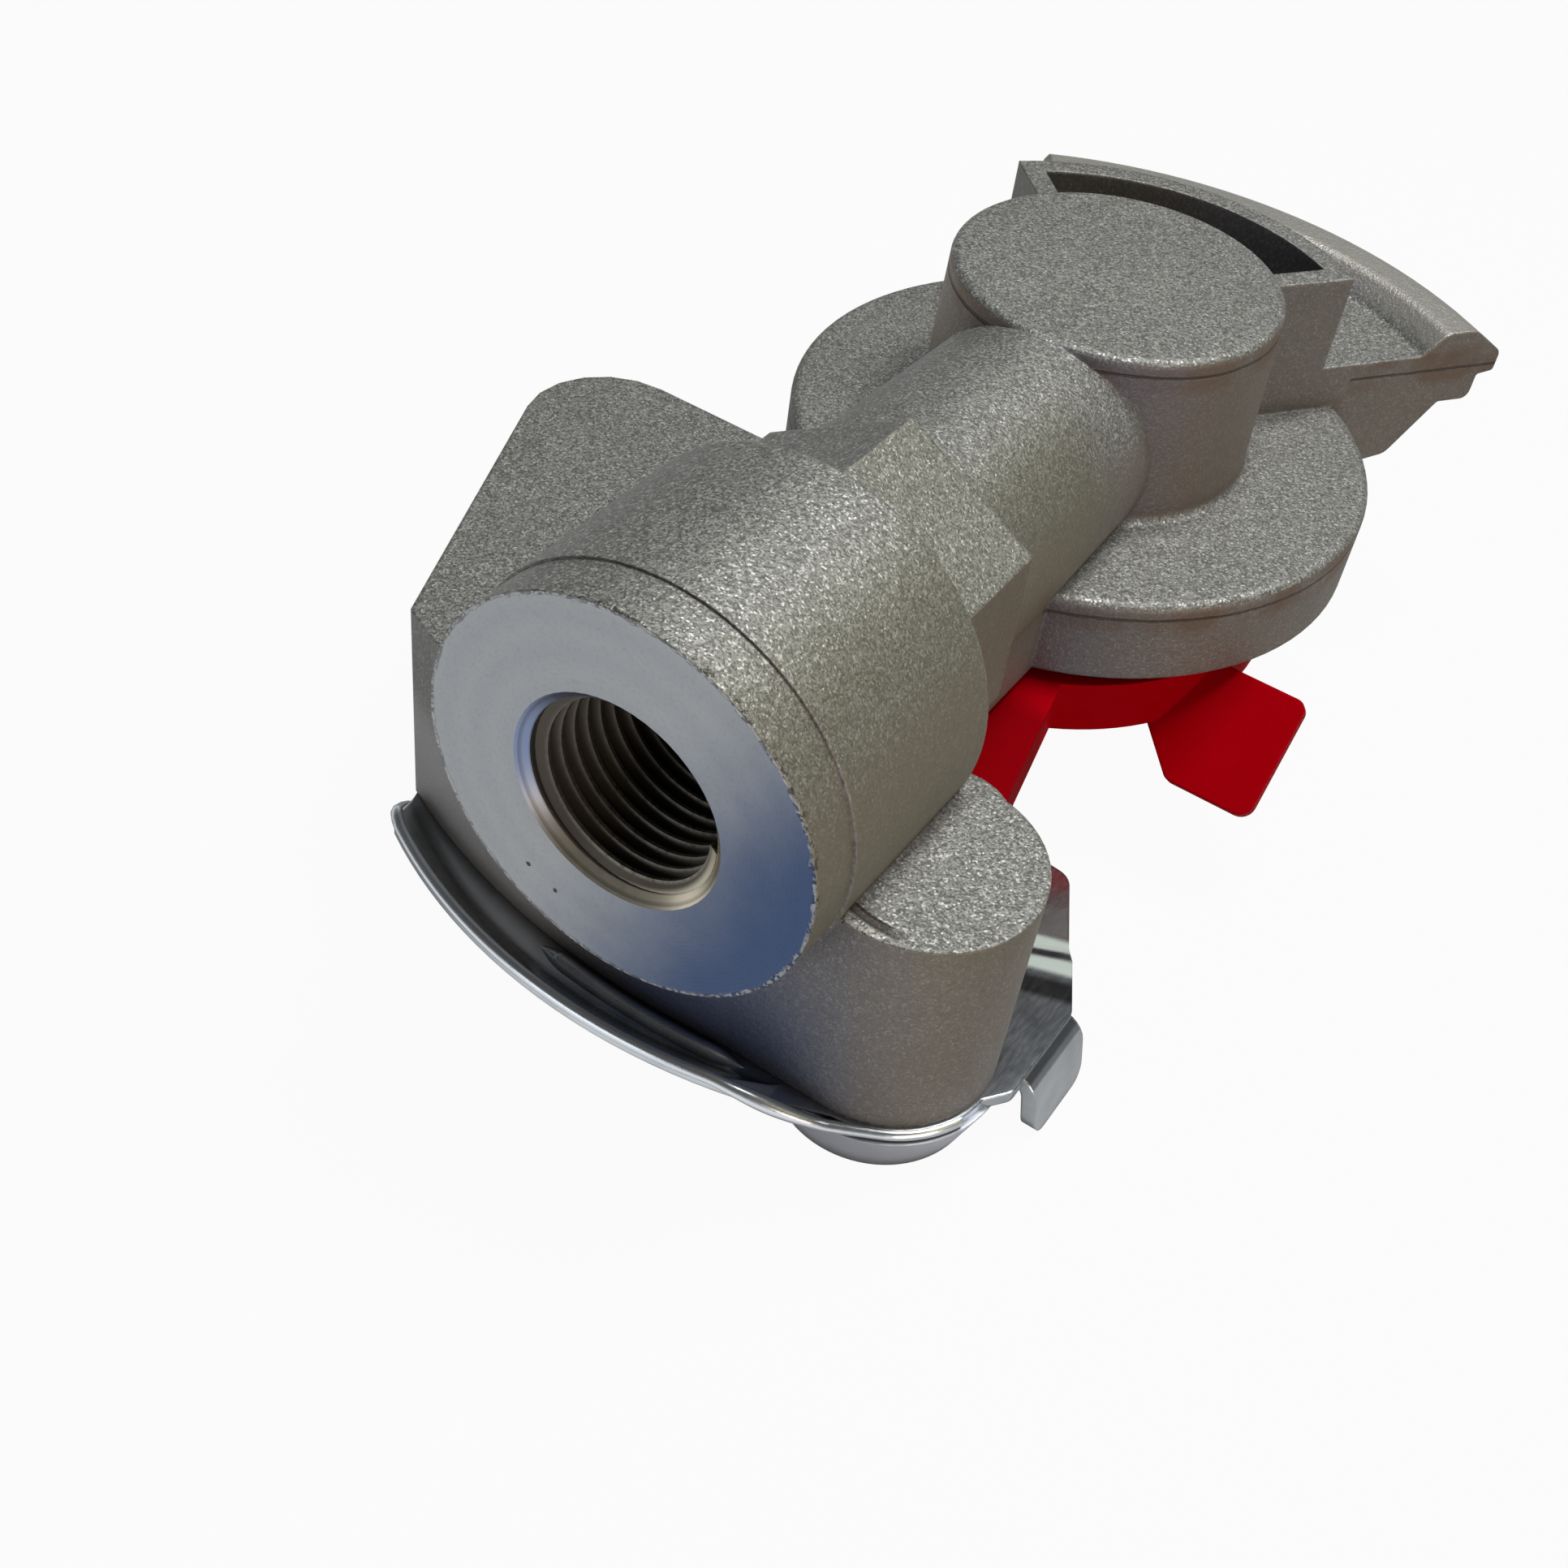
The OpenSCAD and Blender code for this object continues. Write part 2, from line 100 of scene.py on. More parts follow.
class Value:
    """A shader socket whose operators add Math nodes to its graph."""

    # The share of a band's half width that is full.
    band_core = 0.4

    def __init__(self, graph: "Graph", socket: bpy.types.NodeSocket) -> None:
        """Wraps an output socket of a node in the graph."""
        self.graph = graph
        self.socket = socket

    def _math(self, operation: str, first: Number, second: Number = 0.0) -> "Value":
        """Adds a Math node.

        Args:
            operation: Blender's name of the operation.
            first: The first operand.
            second: The second operand, where the operation has one.

        Returns:
            The node's result.
        """
        return self.graph.node("ShaderNodeMath", {"operation": operation}, {0: first, 1: second})

    def __add__(self, other: Number) -> "Value":
        """Sum."""
        return self._math("ADD", self, other)

    def __radd__(self, other: Number) -> "Value":
        """Sum with a number on the left."""
        return self._math("ADD", other, self)

    def __sub__(self, other: Number) -> "Value":
        """Difference."""
        return self._math("SUBTRACT", self, other)

    def __rsub__(self, other: Number) -> "Value":
        """Difference from a number on the left."""
        return self._math("SUBTRACT", other, self)

    def __mul__(self, other: Number) -> "Value":
        """Product."""
        return self._math("MULTIPLY", self, other)

    def __rmul__(self, other: Number) -> "Value":
        """Product with a number on the left."""
        return self._math("MULTIPLY", other, self)

    def __abs__(self) -> "Value":
        """Absolute value."""
        return self._math("ABSOLUTE", self)

    def root(self) -> "Value":
        """Square root."""
        return self._math("SQRT", self)

    def sine(self) -> "Value":
        """Sine of a value in radians."""
        return self._math("SINE", self)

    def centred(self) -> "Value":
        """A pattern from 0 to 1, moved to lie around zero."""
        return self - 0.5

    def most(self, other: Number) -> "Value":
        """The larger of two values."""
        return self._math("MAXIMUM", self, other)

    def ramp(self, low: float, high: float, start: float = 0.0, end: float = 1.0) -> "Value":
        """Eases from start at low to end at high.

        Args:
            low: The value at which the result is start.
            high: The value at which the result is end.
            start: The result below low.
            end: The result above high.

        Returns:
            The eased value.
        """
        return self.graph.node(
            "ShaderNodeMapRange",
            {"interpolation_type": "SMOOTHSTEP"},
            {"Value": self, "From Min": low, "From Max": high, "To Min": start, "To Max": end},
        )

    def fall(self, low: float, high: float) -> "Value":
        """One below low, easing to zero at high."""
        return self.ramp(low, high, 1.0, 0.0)

    def near(self, centre: float, width: float) -> "Value":
        """One where the value is near a centre, easing to zero at a width from it."""
        return abs(self - centre).fall(width * self.band_core, width)


def distance(first: Value, second: Value) -> Value:
    """Length of a way that has these parts along two axes."""
    return (first * first + second * second).root()


@dataclass(frozen=True)
class Tone:
    """A colour and the share of it that its mask lays on."""

    colour: Colour
    share: float


class Graph:
    """The node tree of one material or of the world."""

    noise_roughness = 0.6
    edge_turn: Span = (0.72, 0.99)
    edge_samples = 6
    sky_samples = 8

    def __init__(self, owner: Union[bpy.types.Material, bpy.types.World]) -> None:
        """Starts with the empty node tree of a new material or world."""
        self.owner = owner
        owner.use_nodes = True
        self.tree = owner.node_tree
        self.tree.nodes.clear()

    def node(
        self,
        kind: str,
        settings: dict[str, Any],
        sockets: dict[Any, Any],
        output: Union[int, str] = 0,
    ) -> Value:
        """Adds a node.

        Args:
            kind: The node's type.
            settings: Its own properties, set before its sockets.
            sockets: Values or links of its inputs, by name or index.
            output: The output that is returned.

        Returns:
            The chosen output.
        """
        made = self.tree.nodes.new(kind)
        for key, setting in settings.items():
            setattr(made, key, setting)
        for key, given in sockets.items():
            socket = made.inputs[key]
            if isinstance(given, Value):
                self.tree.links.new(given.socket, socket)
            elif isinstance(given, tuple) and socket.type == "RGBA":
                socket.default_value = (*given, 1.0)
            else:
                socket.default_value = given
        return Value(self, made.outputs[output])

    def place(self) -> Value:
        """Object coordinates, in metres."""
        return self.node("ShaderNodeTexCoord", {}, {}, "Object")

    def facing(self) -> Value:
        """The surface normal."""
        return self.node("ShaderNodeNewGeometry", {}, {}, "Normal")

    def ray(self, kind: str) -> Value:
        """One for rays of a kind."""
        return self.node("ShaderNodeLightPath", {}, {}, kind)

    def axes(self, vector: Value) -> Axes:
        """Splits a vector into its parts.

        Args:
            vector: The vector.

        Returns:
            Its X, Y and Z.
        """
        first = self.node("ShaderNodeSeparateXYZ", {}, {0: vector})
        outputs = first.socket.node.outputs
        return first, Value(self, outputs[1]), Value(self, outputs[2])

    def millimetres(self) -> Axes:
        """Object coordinates, in millimetres."""
        x, y, z = self.axes(self.place())
        return x * (1.0 / MM), y * (1.0 / MM), z * (1.0 / MM)

    def noise(self, size_mm: float, detail: float, stretch: Point = (1.0, 1.0, 1.0)) -> Value:
        """Noise with features of a size.

        Args:
            size_mm: The size of its features.
            detail: Its octaves.
            stretch: Scale of the pattern along each axis.

        Returns:
            The noise, around a half.
        """
        spread = self.node("ShaderNodeMapping", {}, {"Vector": self.place(), "Scale": stretch})
        sockets = {
            "Vector": spread,
            "Scale": 1.0 / (size_mm * MM),
            "Detail": detail,
            "Roughness": self.noise_roughness,
        }
        return self.node("ShaderNodeTexNoise", {}, sockets)

    def cells(self, size_mm: float) -> Value:
        """A random value for each grain of a size.

        Args:
            size_mm: The size of a grain.

        Returns:
            The pattern, from 0 to 1.
        """
        sockets = {"Vector": self.place(), "Scale": 1.0 / (size_mm * MM)}
        colour = self.node("ShaderNodeTexVoronoi", {}, sockets, "Color")
        return self.node("ShaderNodeSeparateColor", {}, {0: colour})

    def blend(self, factor: Number, first: Any, second: Any) -> Value:
        """Mixes two colours.

        Args:
            factor: The share of the second colour.
            first: A colour or a link.
            second: A colour or a link.

        Returns:
            The mixed colour.
        """
        # The Mix node's sockets for colours, which share their names with those for numbers.
        sockets = {0: factor, 6: first, 7: second}
        return self.node("ShaderNodeMix", {"data_type": "RGBA"}, sockets, 2)

    def lay(self, under: Any, mask: Value, tone: Tone) -> Value:
        """Lays a tone over a colour.

        Args:
            under: A colour or a link.
            mask: Where the tone lies.
            tone: The tone.

        Returns:
            The mixed colour.
        """
        return self.blend(mask * tone.share, under, tone.colour)

    def softened(self, radius_mm: float) -> Value:
        """The surface normal with edges rounded by a radius."""
        settings = {"samples": self.edge_samples}
        return self.node("ShaderNodeBevel", settings, {"Radius": radius_mm * MM})

    def edges(self, radius_mm: float) -> Value:
        """One at edges of the surface, zero elsewhere.

        Args:
            radius_mm: The width of an edge.

        Returns:
            The mask.
        """
        sockets = {0: self.facing(), 1: self.softened(radius_mm)}
        dot = self.node("ShaderNodeVectorMath", {"operation": "DOT_PRODUCT"}, sockets, "Value")
        return dot.fall(*self.edge_turn)

    def open_sky(self, reach_mm: float) -> Value:
        """How open the surface is to its surroundings.

        Args:
            reach_mm: The distance within which surroundings count.

        Returns:
            One in the open, less in a hollow.
        """
        sockets = {"Distance": reach_mm * MM}
        settings = {"samples": self.sky_samples}
        return self.node("ShaderNodeAmbientOcclusion", settings, sockets, "AO")

    def bump(self, height: Value, depth_mm: float, normal: Value) -> Value:
        """Normal of a surface with a height pattern.

        Args:
            height: The pattern, from 0 to 1.
            depth_mm: The height of a step from 0 to 1.
            normal: The normal under the pattern.

        Returns:
            The normal.
        """
        sockets = {"Strength": 1.0, "Distance": depth_mm * MM, "Height": height, "Normal": normal}
        return self.node("ShaderNodeBump", {}, sockets)

    def finish(self, sockets: dict[str, Any]) -> bpy.types.Material:
        """Ends a material's graph in a Principled shader.

        Args:
            sockets: The shader's values and links.

        Returns:
            The material.
        """
        self.end("ShaderNodeOutputMaterial", self.node("ShaderNodeBsdfPrincipled", {}, sockets))
        return self.owner

    def end(self, kind: str, shader: Value) -> None:
        """Links a shader to an output node of a kind."""
        output = self.tree.nodes.new(kind)
        self.tree.links.new(shader.socket, output.inputs["Surface"])


@dataclass(frozen=True)
class CastFinish:
    """Shot-blasted die casting: grey, with fine parting lines and edge wear, and with painted
    glints, highlights, shade and reflections.
    """

    # Colours, and how much of each is laid on.
    light: Colour = (0.350, 0.353, 0.330)
    dark: Colour = (0.130, 0.130, 0.120)
    # Dark soiling, also laid as painted shade in hollows.
    grime_and_shade: Colour = (0.060, 0.047, 0.038)
    # Painted shade with a warm reflected tint, laid on walls.
    painted_warm_shade: Colour = (0.205, 0.160, 0.125)
    blotch: Tone = Tone((0.130, 0.130, 0.120), 0.18)
    # Bright specks: partly pale grains, partly painted glints.
    speck_glint: Tone = Tone((0.85, 0.85, 0.81), 0.5)
    rust: Tone = Tone((0.175, 0.112, 0.072), 0.85)
    # Painted light that pales the lower front wall left of the port.
    painted_lift: Tone = Tone((0.60, 0.60, 0.60), 0.7)
    # Painted greenish-yellow reflection on the port's right flank.
    greenish_reflection: Tone = Tone((0.185, 0.178, 0.095), 0.4)
    # Lighter edges: partly wear, partly painted edge highlight.
    wear_and_highlight: Tone = Tone((0.52, 0.505, 0.46), 0.6)
    # Lighter bead top: partly smoothed by wear, partly painted highlight.
    polish_highlight: Tone = Tone((0.52, 0.505, 0.46), 0.75)
    # Painted shade on the front wall under the port, tinted as a painted reflection.
    shade: Tone = Tone((0.050, 0.085, 0.200), 0.8)
    wall_warm_shade: float = 0.4
    turret_warm_shade: float = 0.6
    left_shade: float = 0.65
    upper_shade: float = 0.4
    hollow_dirt_and_shade: Span = (0.25, 0.7)
    line_dirt: float = 0.75
    groove_shade: float = 0.9
    chip_dirt: float = 0.8
    # Sizes of the patterns, and the part of each that shows.
    grain: float = 0.16
    pebble: float = 0.416
    sparkle: float = 0.176
    chip: float = 0.55
    stains: float = 5.0
    mottle: float = 9.0
    waver: float = 0.5
    wall_grain: float = 0.40
    tone_cut: Span = (0.25, 0.75)
    speck_cut: Span = (0.80, 0.95)
    blotch_cut: Span = (0.3, 0.75)
    rust_cut: Span = (0.36, 0.60)
    worn_cut: Span = (0.35, 0.6)
    ridge_cut: Span = (0.3, 0.5)
    chip_cut: Span = (0.56, 0.62)
    edge_w: float = 0.55
    hollow_reach: float = 2.0
    # Shine and relief.
    metallic: float = 0.6
    lifted_metallic_drop: float = 0.5
    roughness: float = 0.52
    speck_gloss: float = 0.14
    grain_rough: float = 0.06
    polish_gloss: float = 0.12
    relief: float = 0.10
    rounding: float = 0.45
    grain_h: float = 0.55
    pebble_h: float = 0.6
    ridge_h: float = 0.8
    line_h: float = -1.5
    chip_h: float = -1.5
    groove_h: float = -3.0
    # Directions that count as level, upright, right, left and front.
    level: Span = (0.1, 0.8)
    upright: Span = (0.3, 0.6)
    right: Span = (-0.3, 0.2)
    left: Span = (-0.75, -0.25)
    reflecting_right: Span = (0.15, 0.75)
    lifted_front: Span = (-0.6, -0.2)
    shaded_front: Span = (-0.85, -0.45)
    # Places on the casting.
    turret_y: float = TURRET_Y
    turret_r: float = 16.0
    turret_foot: float = 0.4
    flange_r: float = 27.2
    rim_w: float = 0.6
    claw_r: Span = (27.7, 28.0)
    claw_y: Span = (TURRET_Y + 4.0, TURRET_Y + 6.0)
    bead_r: Span = (35.6, 37.1)
    bead_y: Span = (TURRET_Y, TURRET_Y + 2.0)
    turret_line: float = 9.8
    rim_line: float = -6.0
    claw_line: float = -1.7
    line_w: float = 0.2
    stain_w: float = 2.6
    stain_rise: float = 0.4
    lobe_at: Span = LOBE_AT
    lobe_top: float = -5.5
    lobe_slack: float = 0.25
    # The flash's groove is darkened as painted shade and its ridge lightened as painted highlight.
    flash_r: float = 7.75
    flash_w: float = 0.55
    flash_lean: float = 0.1
    ridge_r: Span = (7.95, 8.25)
    flash_x: Span = (0.4, 3.4)
    flash_y: Span = (-6.5, -5.5)
    chip_y: Span = (FACE_Y + 0.15, FACE_Y + 0.8)
    chip_r: Span = (15.9, 16.1)
    hollow_x: Span = (-16.0, -4.0)
    reflection_y: Span = (46.0, 56.0)
    reflection_z: Span = (-12.0, -4.0)
    lifted_x: Span = (-14.0, -2.0)
    lifted_z: Span = (-18.0, -12.0)
    shade_from: Span = (-12.0, 3.0)
    shade_to: Span = (10.0, 24.0)
    shade_z: Span = (-25.0, -9.0)

    def material(self) -> bpy.types.Material:
        """Builds the material.

        Returns:
            The material.
        """
        g = Graph(bpy.data.materials.new("cast_metal"))
        at = g.millimetres()
        facing = g.axes(g.facing())
        grain = g.noise(self.grain, detail=3.0)
        pebble = g.noise(self.pebble, detail=1.0)
        mottle = g.noise(self.mottle, detail=3.0)
        # Painted light: grain contrast and bright specks are stronger on level faces, which face
        # the lamp, than on walls.
        level_lit = facing[2].ramp(*self.level, self.wall_grain, 1.0)
        wall = abs(facing[2]).fall(*self.upright)
        tone = (g.cells(self.grain) * 0.5 + grain * 0.5).ramp(*self.tone_cut)
        speck_glint = g.cells(self.sparkle).ramp(*self.speck_cut) * level_lit
        line, stain = self._parting(at, wall, mottle.centred() * self.waver)
        polish_and_highlight = self._polished(at, wall)
        groove, ridge = self._flash(at, pebble)
        chips = self._chips(g, at)
        lifted_left_front = self._left_front(at, facing)
        turret = self._from_turret(at).fall(self.turret_r, self.turret_r + self.turret_foot)
        # Painted shade with a warm reflected tint on walls that face right and on the turret's
        # walls.
        warm_shade_mask = (facing[0].ramp(*self.right) * self.wall_warm_shade).most(turret * self.turret_warm_shade)
        # Painted shade on faces that turn to the left, away from the lamps, except on the lifted
        # patch and the turret.
        left_side_shade = facing[0].ramp(*self.left, self.left_shade, 0.0)
        # Painted greenish-yellow reflection on the port's right flank.
        right_flank_reflection = facing[0].ramp(*self.reflecting_right) * at[1].fall(*self.reflection_y)
        # Lighter edges and the flash's ridge: partly wear, partly painted edge highlight.
        rubbed_and_highlit = (g.edges(self.edge_w) * pebble.ramp(*self.worn_cut)).most(ridge)
        rusty = stain * g.noise(self.stains, detail=4.0).ramp(*self.rust_cut)
        colour = g.blend(tone.centred() * level_lit + 0.5, self.dark, self.light)
        colour = g.lay(colour, mottle.ramp(*self.blotch_cut), self.blotch)
        colour = g.lay(colour, speck_glint, self.speck_glint)
        colour = g.lay(colour, rusty, self.rust)
        colour = g.blend(wall * warm_shade_mask, colour, self.painted_warm_shade)
        colour = g.blend(left_side_shade * (1.0 - lifted_left_front.most(turret)), colour, self.dark)
        # Painted light on the lower front wall left of the port.
        colour = g.lay(colour, lifted_left_front, self.painted_lift)
        colour = g.lay(colour, right_flank_reflection * at[2].ramp(*self.reflection_z), self.greenish_reflection)
        colour = g.lay(colour, rubbed_and_highlit, self.wear_and_highlight)
        colour = g.lay(colour, polish_and_highlight, self.polish_highlight)
        # Painted shade under the port.
        colour = g.lay(colour, self._front_shade(at, facing), self.shade)
        # Darker in hollows, less at the left: partly soiling, partly painted shade. Dark parting
        # lines and chips are soiling; the flash's groove is painted shade.
        hollow = 1.0 - g.open_sky(self.hollow_reach)
        dirt_and_shade = hollow * at[0].ramp(*self.hollow_x, *self.hollow_dirt_and_shade)
        dirt_and_shade = dirt_and_shade.most(line * self.line_dirt).most(groove * self.groove_shade)
        colour = g.blend(dirt_and_shade.most(chips * self.chip_dirt), colour, self.grime_and_shade)
        gloss = polish_and_highlight * self.polish_gloss + speck_glint * self.speck_gloss
        height = grain * self.grain_h + pebble * self.pebble_h + ridge * self.ridge_h
        height = height + line * self.line_h + chips * self.chip_h + groove * self.groove_h
        return g.finish(
            {
                "Base Color": colour,
                "Metallic": self.metallic - lifted_left_front * self.lifted_metallic_drop,
                "Roughness": self.roughness + grain * self.grain_rough - gloss,
                "Normal": g.bump(height, self.relief, g.softened(self.rounding)),
            }
        )

    def _from_turret(self, at: Axes) -> Value:
        """Distance from the turret's axis."""
        x, y, _ = at
        return distance(x, y - self.turret_y)

    def _polished(self, at: Axes, wall: Value) -> Value:
        """The top of the claw's bead, which mating heads rub smooth; it is lightened as a painted
        highlight too.

        Args:
            at: Place in millimetres.
            wall: A mask of the walls.

        Returns:
            The mask.
        """
        bead = self._from_turret(at).ramp(*self.bead_r) * at[1].ramp(*self.bead_y)
        return bead * (1.0 - wall)

    def _parting(self, at: Axes, wall: Value, waver: Value) -> tuple[Value, Value]:
        """The lines that the halves of the die leave on the walls.

        Args:
            at: Place in millimetres.
            wall: A mask of the walls.
            waver: A slight wandering of the lines, in millimetres.

        Returns:
            A mask of the lines and one of the brown stain along them.
        """
        _, y, z = at
        level = z + waver
        from_turret = self._from_turret(at)
        turret = from_turret.fall(self.turret_r, self.turret_r + self.turret_foot / 2.0)
        rim = from_turret.near(self.flange_r, self.rim_w)
        claw = from_turret.ramp(*self.claw_r) * y.ramp(*self.claw_y)
        line: Number = 0.0
        stain: Number = 0.0
        heights = (self.turret_line, self.rim_line, self.claw_line)
        for mask, height in zip((turret, rim, claw), heights):
            part = mask * wall
            line = (level.near(height, self.line_w) * part).most(line)
            stain = (level.near(height + self.stain_rise, self.stain_w) * part).most(stain)
        return line, stain

    def _flash(self, at: Axes, rough: Value) -> tuple[Value, Value]:
        """The trimmed flash on the right lobe.

        Args:
            at: Place in millimetres.
            rough: A pattern that breaks up the ridge.

        Returns:
            Masks of its groove, darkened as painted shade, and of its ridge, lightened as painted
            highlight.
        """
        x, y, z = at
        across = x - self.lobe_at[0]
        along = y - self.lobe_at[1]
        radius = distance(across, along) - across * self.flash_lean
        top = z.near(self.lobe_top, self.lobe_slack)
        part = top * along.fall(*self.flash_y) * across.fall(*self.flash_x)
        groove = radius.near(self.flash_r, self.flash_w) * part
        return groove, radius.ramp(*self.ridge_r) * part * rough.ramp(*self.ridge_cut)

    def _chips(self, g: Graph, at: Axes) -> Value:
        """Small chips along the edge of the turned face.

        Args:
            g: The material's graph.
            at: Place in millimetres.

        Returns:
            The mask.
        """
        x, y, z = at
        edge = distance(x, z).ramp(*self.chip_r) * y.fall(*self.chip_y)
        return edge * g.noise(self.chip, detail=2.0).ramp(*self.chip_cut)

    def _left_front(self, at: Axes, facing: Axes) -> Value:
        """Painted light: a paler, less metallic patch on the lower front wall left of the port.

        Args:
            at: Place in millimetres.
            facing: Parts of the normal.

        Returns:
            The mask.
        """
        x, _, z = at
        front = facing[1].fall(*self.lifted_front)
        return front * x.fall(*self.lifted_x) * z.fall(*self.lifted_z)

    def _front_shade(self, at: Axes, facing: Axes) -> Value:
        """Painted shade on the front wall under the port, navy-tinted as a painted reflection.

        Args:
            at: Place in millimetres.
            facing: Parts of the normal.

        Returns:
            The mask.
        """
        x, _, z = at
        front = facing[1].fall(*self.shaded_front) * z.ramp(*self.shade_z, 1.0, self.upper_shade)
        return front * x.ramp(*self.shade_from) * x.fall(*self.shade_to)


@dataclass(frozen=True)
class TurnedFinish:
    """Machined face of the port: smooth, with faint turning rings and a painted navy reflection
    towards its lower right.
    """

    light: Colour = (0.425, 0.455, 0.480)
    # Colour of the painted reflection.
    blue_reflection: Colour = (0.040, 0.085, 0.205)
    pit: Colour = (0.02, 0.02, 0.02)
    fleck: Colour = (0.60, 0.60, 0.58)
    cloud: float = 7.0
    pitch: float = 0.35
    pitch_waver: float = 3.0
    broad_pitch: float = 2.9
    broad_waver: float = 2.0
    broad_share: float = 0.06
    pore: float = 0.3
    pore_cut: Span = (0.45, 0.8)
    pore_share: float = 0.12
    pits: tuple[Span, ...] = ((-7.2, -10.77), (-4.67, -11.89))
    pit_r: Span = (0.26, 0.42)
    pit_waver: float = 0.3
    rim_r: Span = (15.95, 16.15)
    rim_ragged: float = 1.3
    rim_waver: float = 0.8
    rim_share: float = 0.55
    fleck_cut: Span = (0.2, 0.8)
    reflection_way: Span = (0.90, -0.44)
    reflection_waver: float = 4.0
    reflection_span: Span = (0.5, 16.0)
    metallic: float = 0.55
    roughness: float = 0.36
    ring_rough: float = 0.06
    cloud_rough: float = 0.12
    relief: float = 0.012
    rounding: float = 0.25
    ring_h: float = 0.4
    broad_h: float = 0.3
    worn_h: float = -6.0

    def material(self) -> bpy.types.Material:
        """Builds the material.

        Returns:
            The material.
        """
        g = Graph(bpy.data.materials.new("turned_face"))
        x, _, z = g.millimetres()
        radius = distance(x, z)
        cloud = g.noise(self.cloud, detail=3.0)
        rings = self._rings(radius, self.pitch, cloud * self.pitch_waver)
        broad = self._rings(radius, self.broad_pitch, cloud * self.broad_waver)
        # Painted navy reflection, deeper towards the lower right; the broad rings carry a little
        # of it.
        right, up = self.reflection_way
        low = (x * right + z * up + cloud * self.reflection_waver).ramp(*self.reflection_span)
        pits = self._pits(g, x, z)
        pores = g.noise(self.pore, detail=2.0).ramp(*self.pore_cut)
        ragged = radius + g.noise(self.rim_ragged, detail=4.0).centred() * self.rim_waver
        ragged = ragged.ramp(*self.rim_r)
        flecks = g.blend(g.cells(self.pore).ramp(*self.fleck_cut), self.pit, self.fleck)
        colour = g.blend(low, self.light, self.blue_reflection)
        colour = g.blend(broad * self.broad_share, colour, self.blue_reflection)
        colour = g.blend(pores * self.pore_share, colour, self.pit)
        colour = g.blend(ragged * self.rim_share, colour, flecks)
        colour = g.blend(pits, colour, self.pit)
        height = rings * self.ring_h + broad * self.broad_h + (pits + ragged) * self.worn_h
        rough = rings * self.ring_rough + cloud.centred() * self.cloud_rough
        return g.finish(
            {
                "Base Color": colour,
                "Metallic": self.metallic,
                "Roughness": self.roughness + rough,
                "Normal": g.bump(height, self.relief, g.softened(self.rounding)),
            }
        )

    def _rings(self, radius: Value, pitch: float, waver: Value) -> Value:
        """Rings around the port axis.

        Args:
            radius: Distance from the axis in millimetres.
            pitch: Distance between rings in millimetres.
            waver: A slight wandering of the rings, in radians.

        Returns:
            The pattern, from 0 to 1.
        """
        return (radius * (2.0 * math.pi / pitch) + waver).sine() * 0.5 + 0.5

    def _pits(self, g: Graph, x: Value, z: Value) -> Value:
        """One inside the few pits of the face.

        Args:
            g: The material's graph.
            x: Millimetres to the right of the port axis.
            z: Millimetres above the port axis.

        Returns:
            The mask.
        """
        ragged = g.noise(self.pore, detail=2.0) * self.pit_waver
        mask: Number = 0.0
        for across, above in self.pits:
            far = distance(x - across, z - above) + ragged
            mask = far.fall(*self.pit_r).most(mask)
        return mask


@dataclass(frozen=True)
class ThreadFinish:
    """Cut thread in the port: dark flanks with painted glints on the crests, and a turned mouth
    with painted reflections.
    """

    bright: Colour = (0.25, 0.235, 0.195)
    dark: Colour = (0.075, 0.064, 0.050)
    gold: Colour = (0.74, 0.68, 0.54)
    # Colour of the painted reflection on the mouth.
    blue_reflection: Colour = (0.22, 0.28, 0.44)
    streak: float = 0.5
    streak_cut: Span = (0.2, 0.6)
    crest_r: Span = (7.28, 7.5)
    glint_way: Span = (0.7, -0.7)
    glint_span: Span = (-3.0, 6.0)
    glint: Span = (0.3, 1.0)
    mouth_r: Span = (8.0, 8.08)
    mouth_y: Span = (0.0, 0.3)
    mouth_share: float = 0.7
    reflection_way: Span = (-0.6, 0.8)
    reflection_span: Span = (-5.0, 5.0)
    groove_r: float = 8.5
    groove_w: float = 0.16
    groove_y: Span = (-0.9, -0.1)
    groove_share: float = 0.75
    metallic: float = 0.65
    mouth_metallic: float = 0.25
    roughness: float = 0.34
    streak_rough: float = 0.16
    mouth_gloss: float = 0.1

    def material(self) -> bpy.types.Material:
        """Builds the material.

        Returns:
            The material.
        """
        g = Graph(bpy.data.materials.new("cut_thread"))
        x, y, z = g.millimetres()
        radius = distance(x, z)
        streak = g.noise(self.streak, detail=3.0)
        mouth = radius.ramp(*self.mouth_r).most(y.fall(*self.mouth_y) * self.mouth_share)
        # Painted glints along the crests, brighter towards the lower right.
        glint = (x * self.glint_way[0] + z * self.glint_way[1]).ramp(*self.glint_span, *self.glint)
        reflected_bluish = (x * self.reflection_way[0] + z * self.reflection_way[1]).ramp(*self.reflection_span)
        crest = radius.fall(*self.crest_r) * glint * streak.ramp(*self.streak_cut)
        groove = radius.near(self.groove_r, self.groove_w) * y.fall(*self.groove_y)
        colour = g.blend(crest, self.dark, self.bright)
        # A painted reflection turns the gold mouth navy towards the upper left.
        colour = g.blend(mouth, colour, g.blend(reflected_bluish, self.gold, self.blue_reflection))
        colour = g.blend(groove * self.groove_share, colour, self.dark)
        rough = streak * self.streak_rough - mouth * self.mouth_gloss
        return g.finish(
            {
                "Base Color": colour,
                "Metallic": mouth * self.mouth_metallic + self.metallic,
                "Roughness": self.roughness + rough,
            }
        )


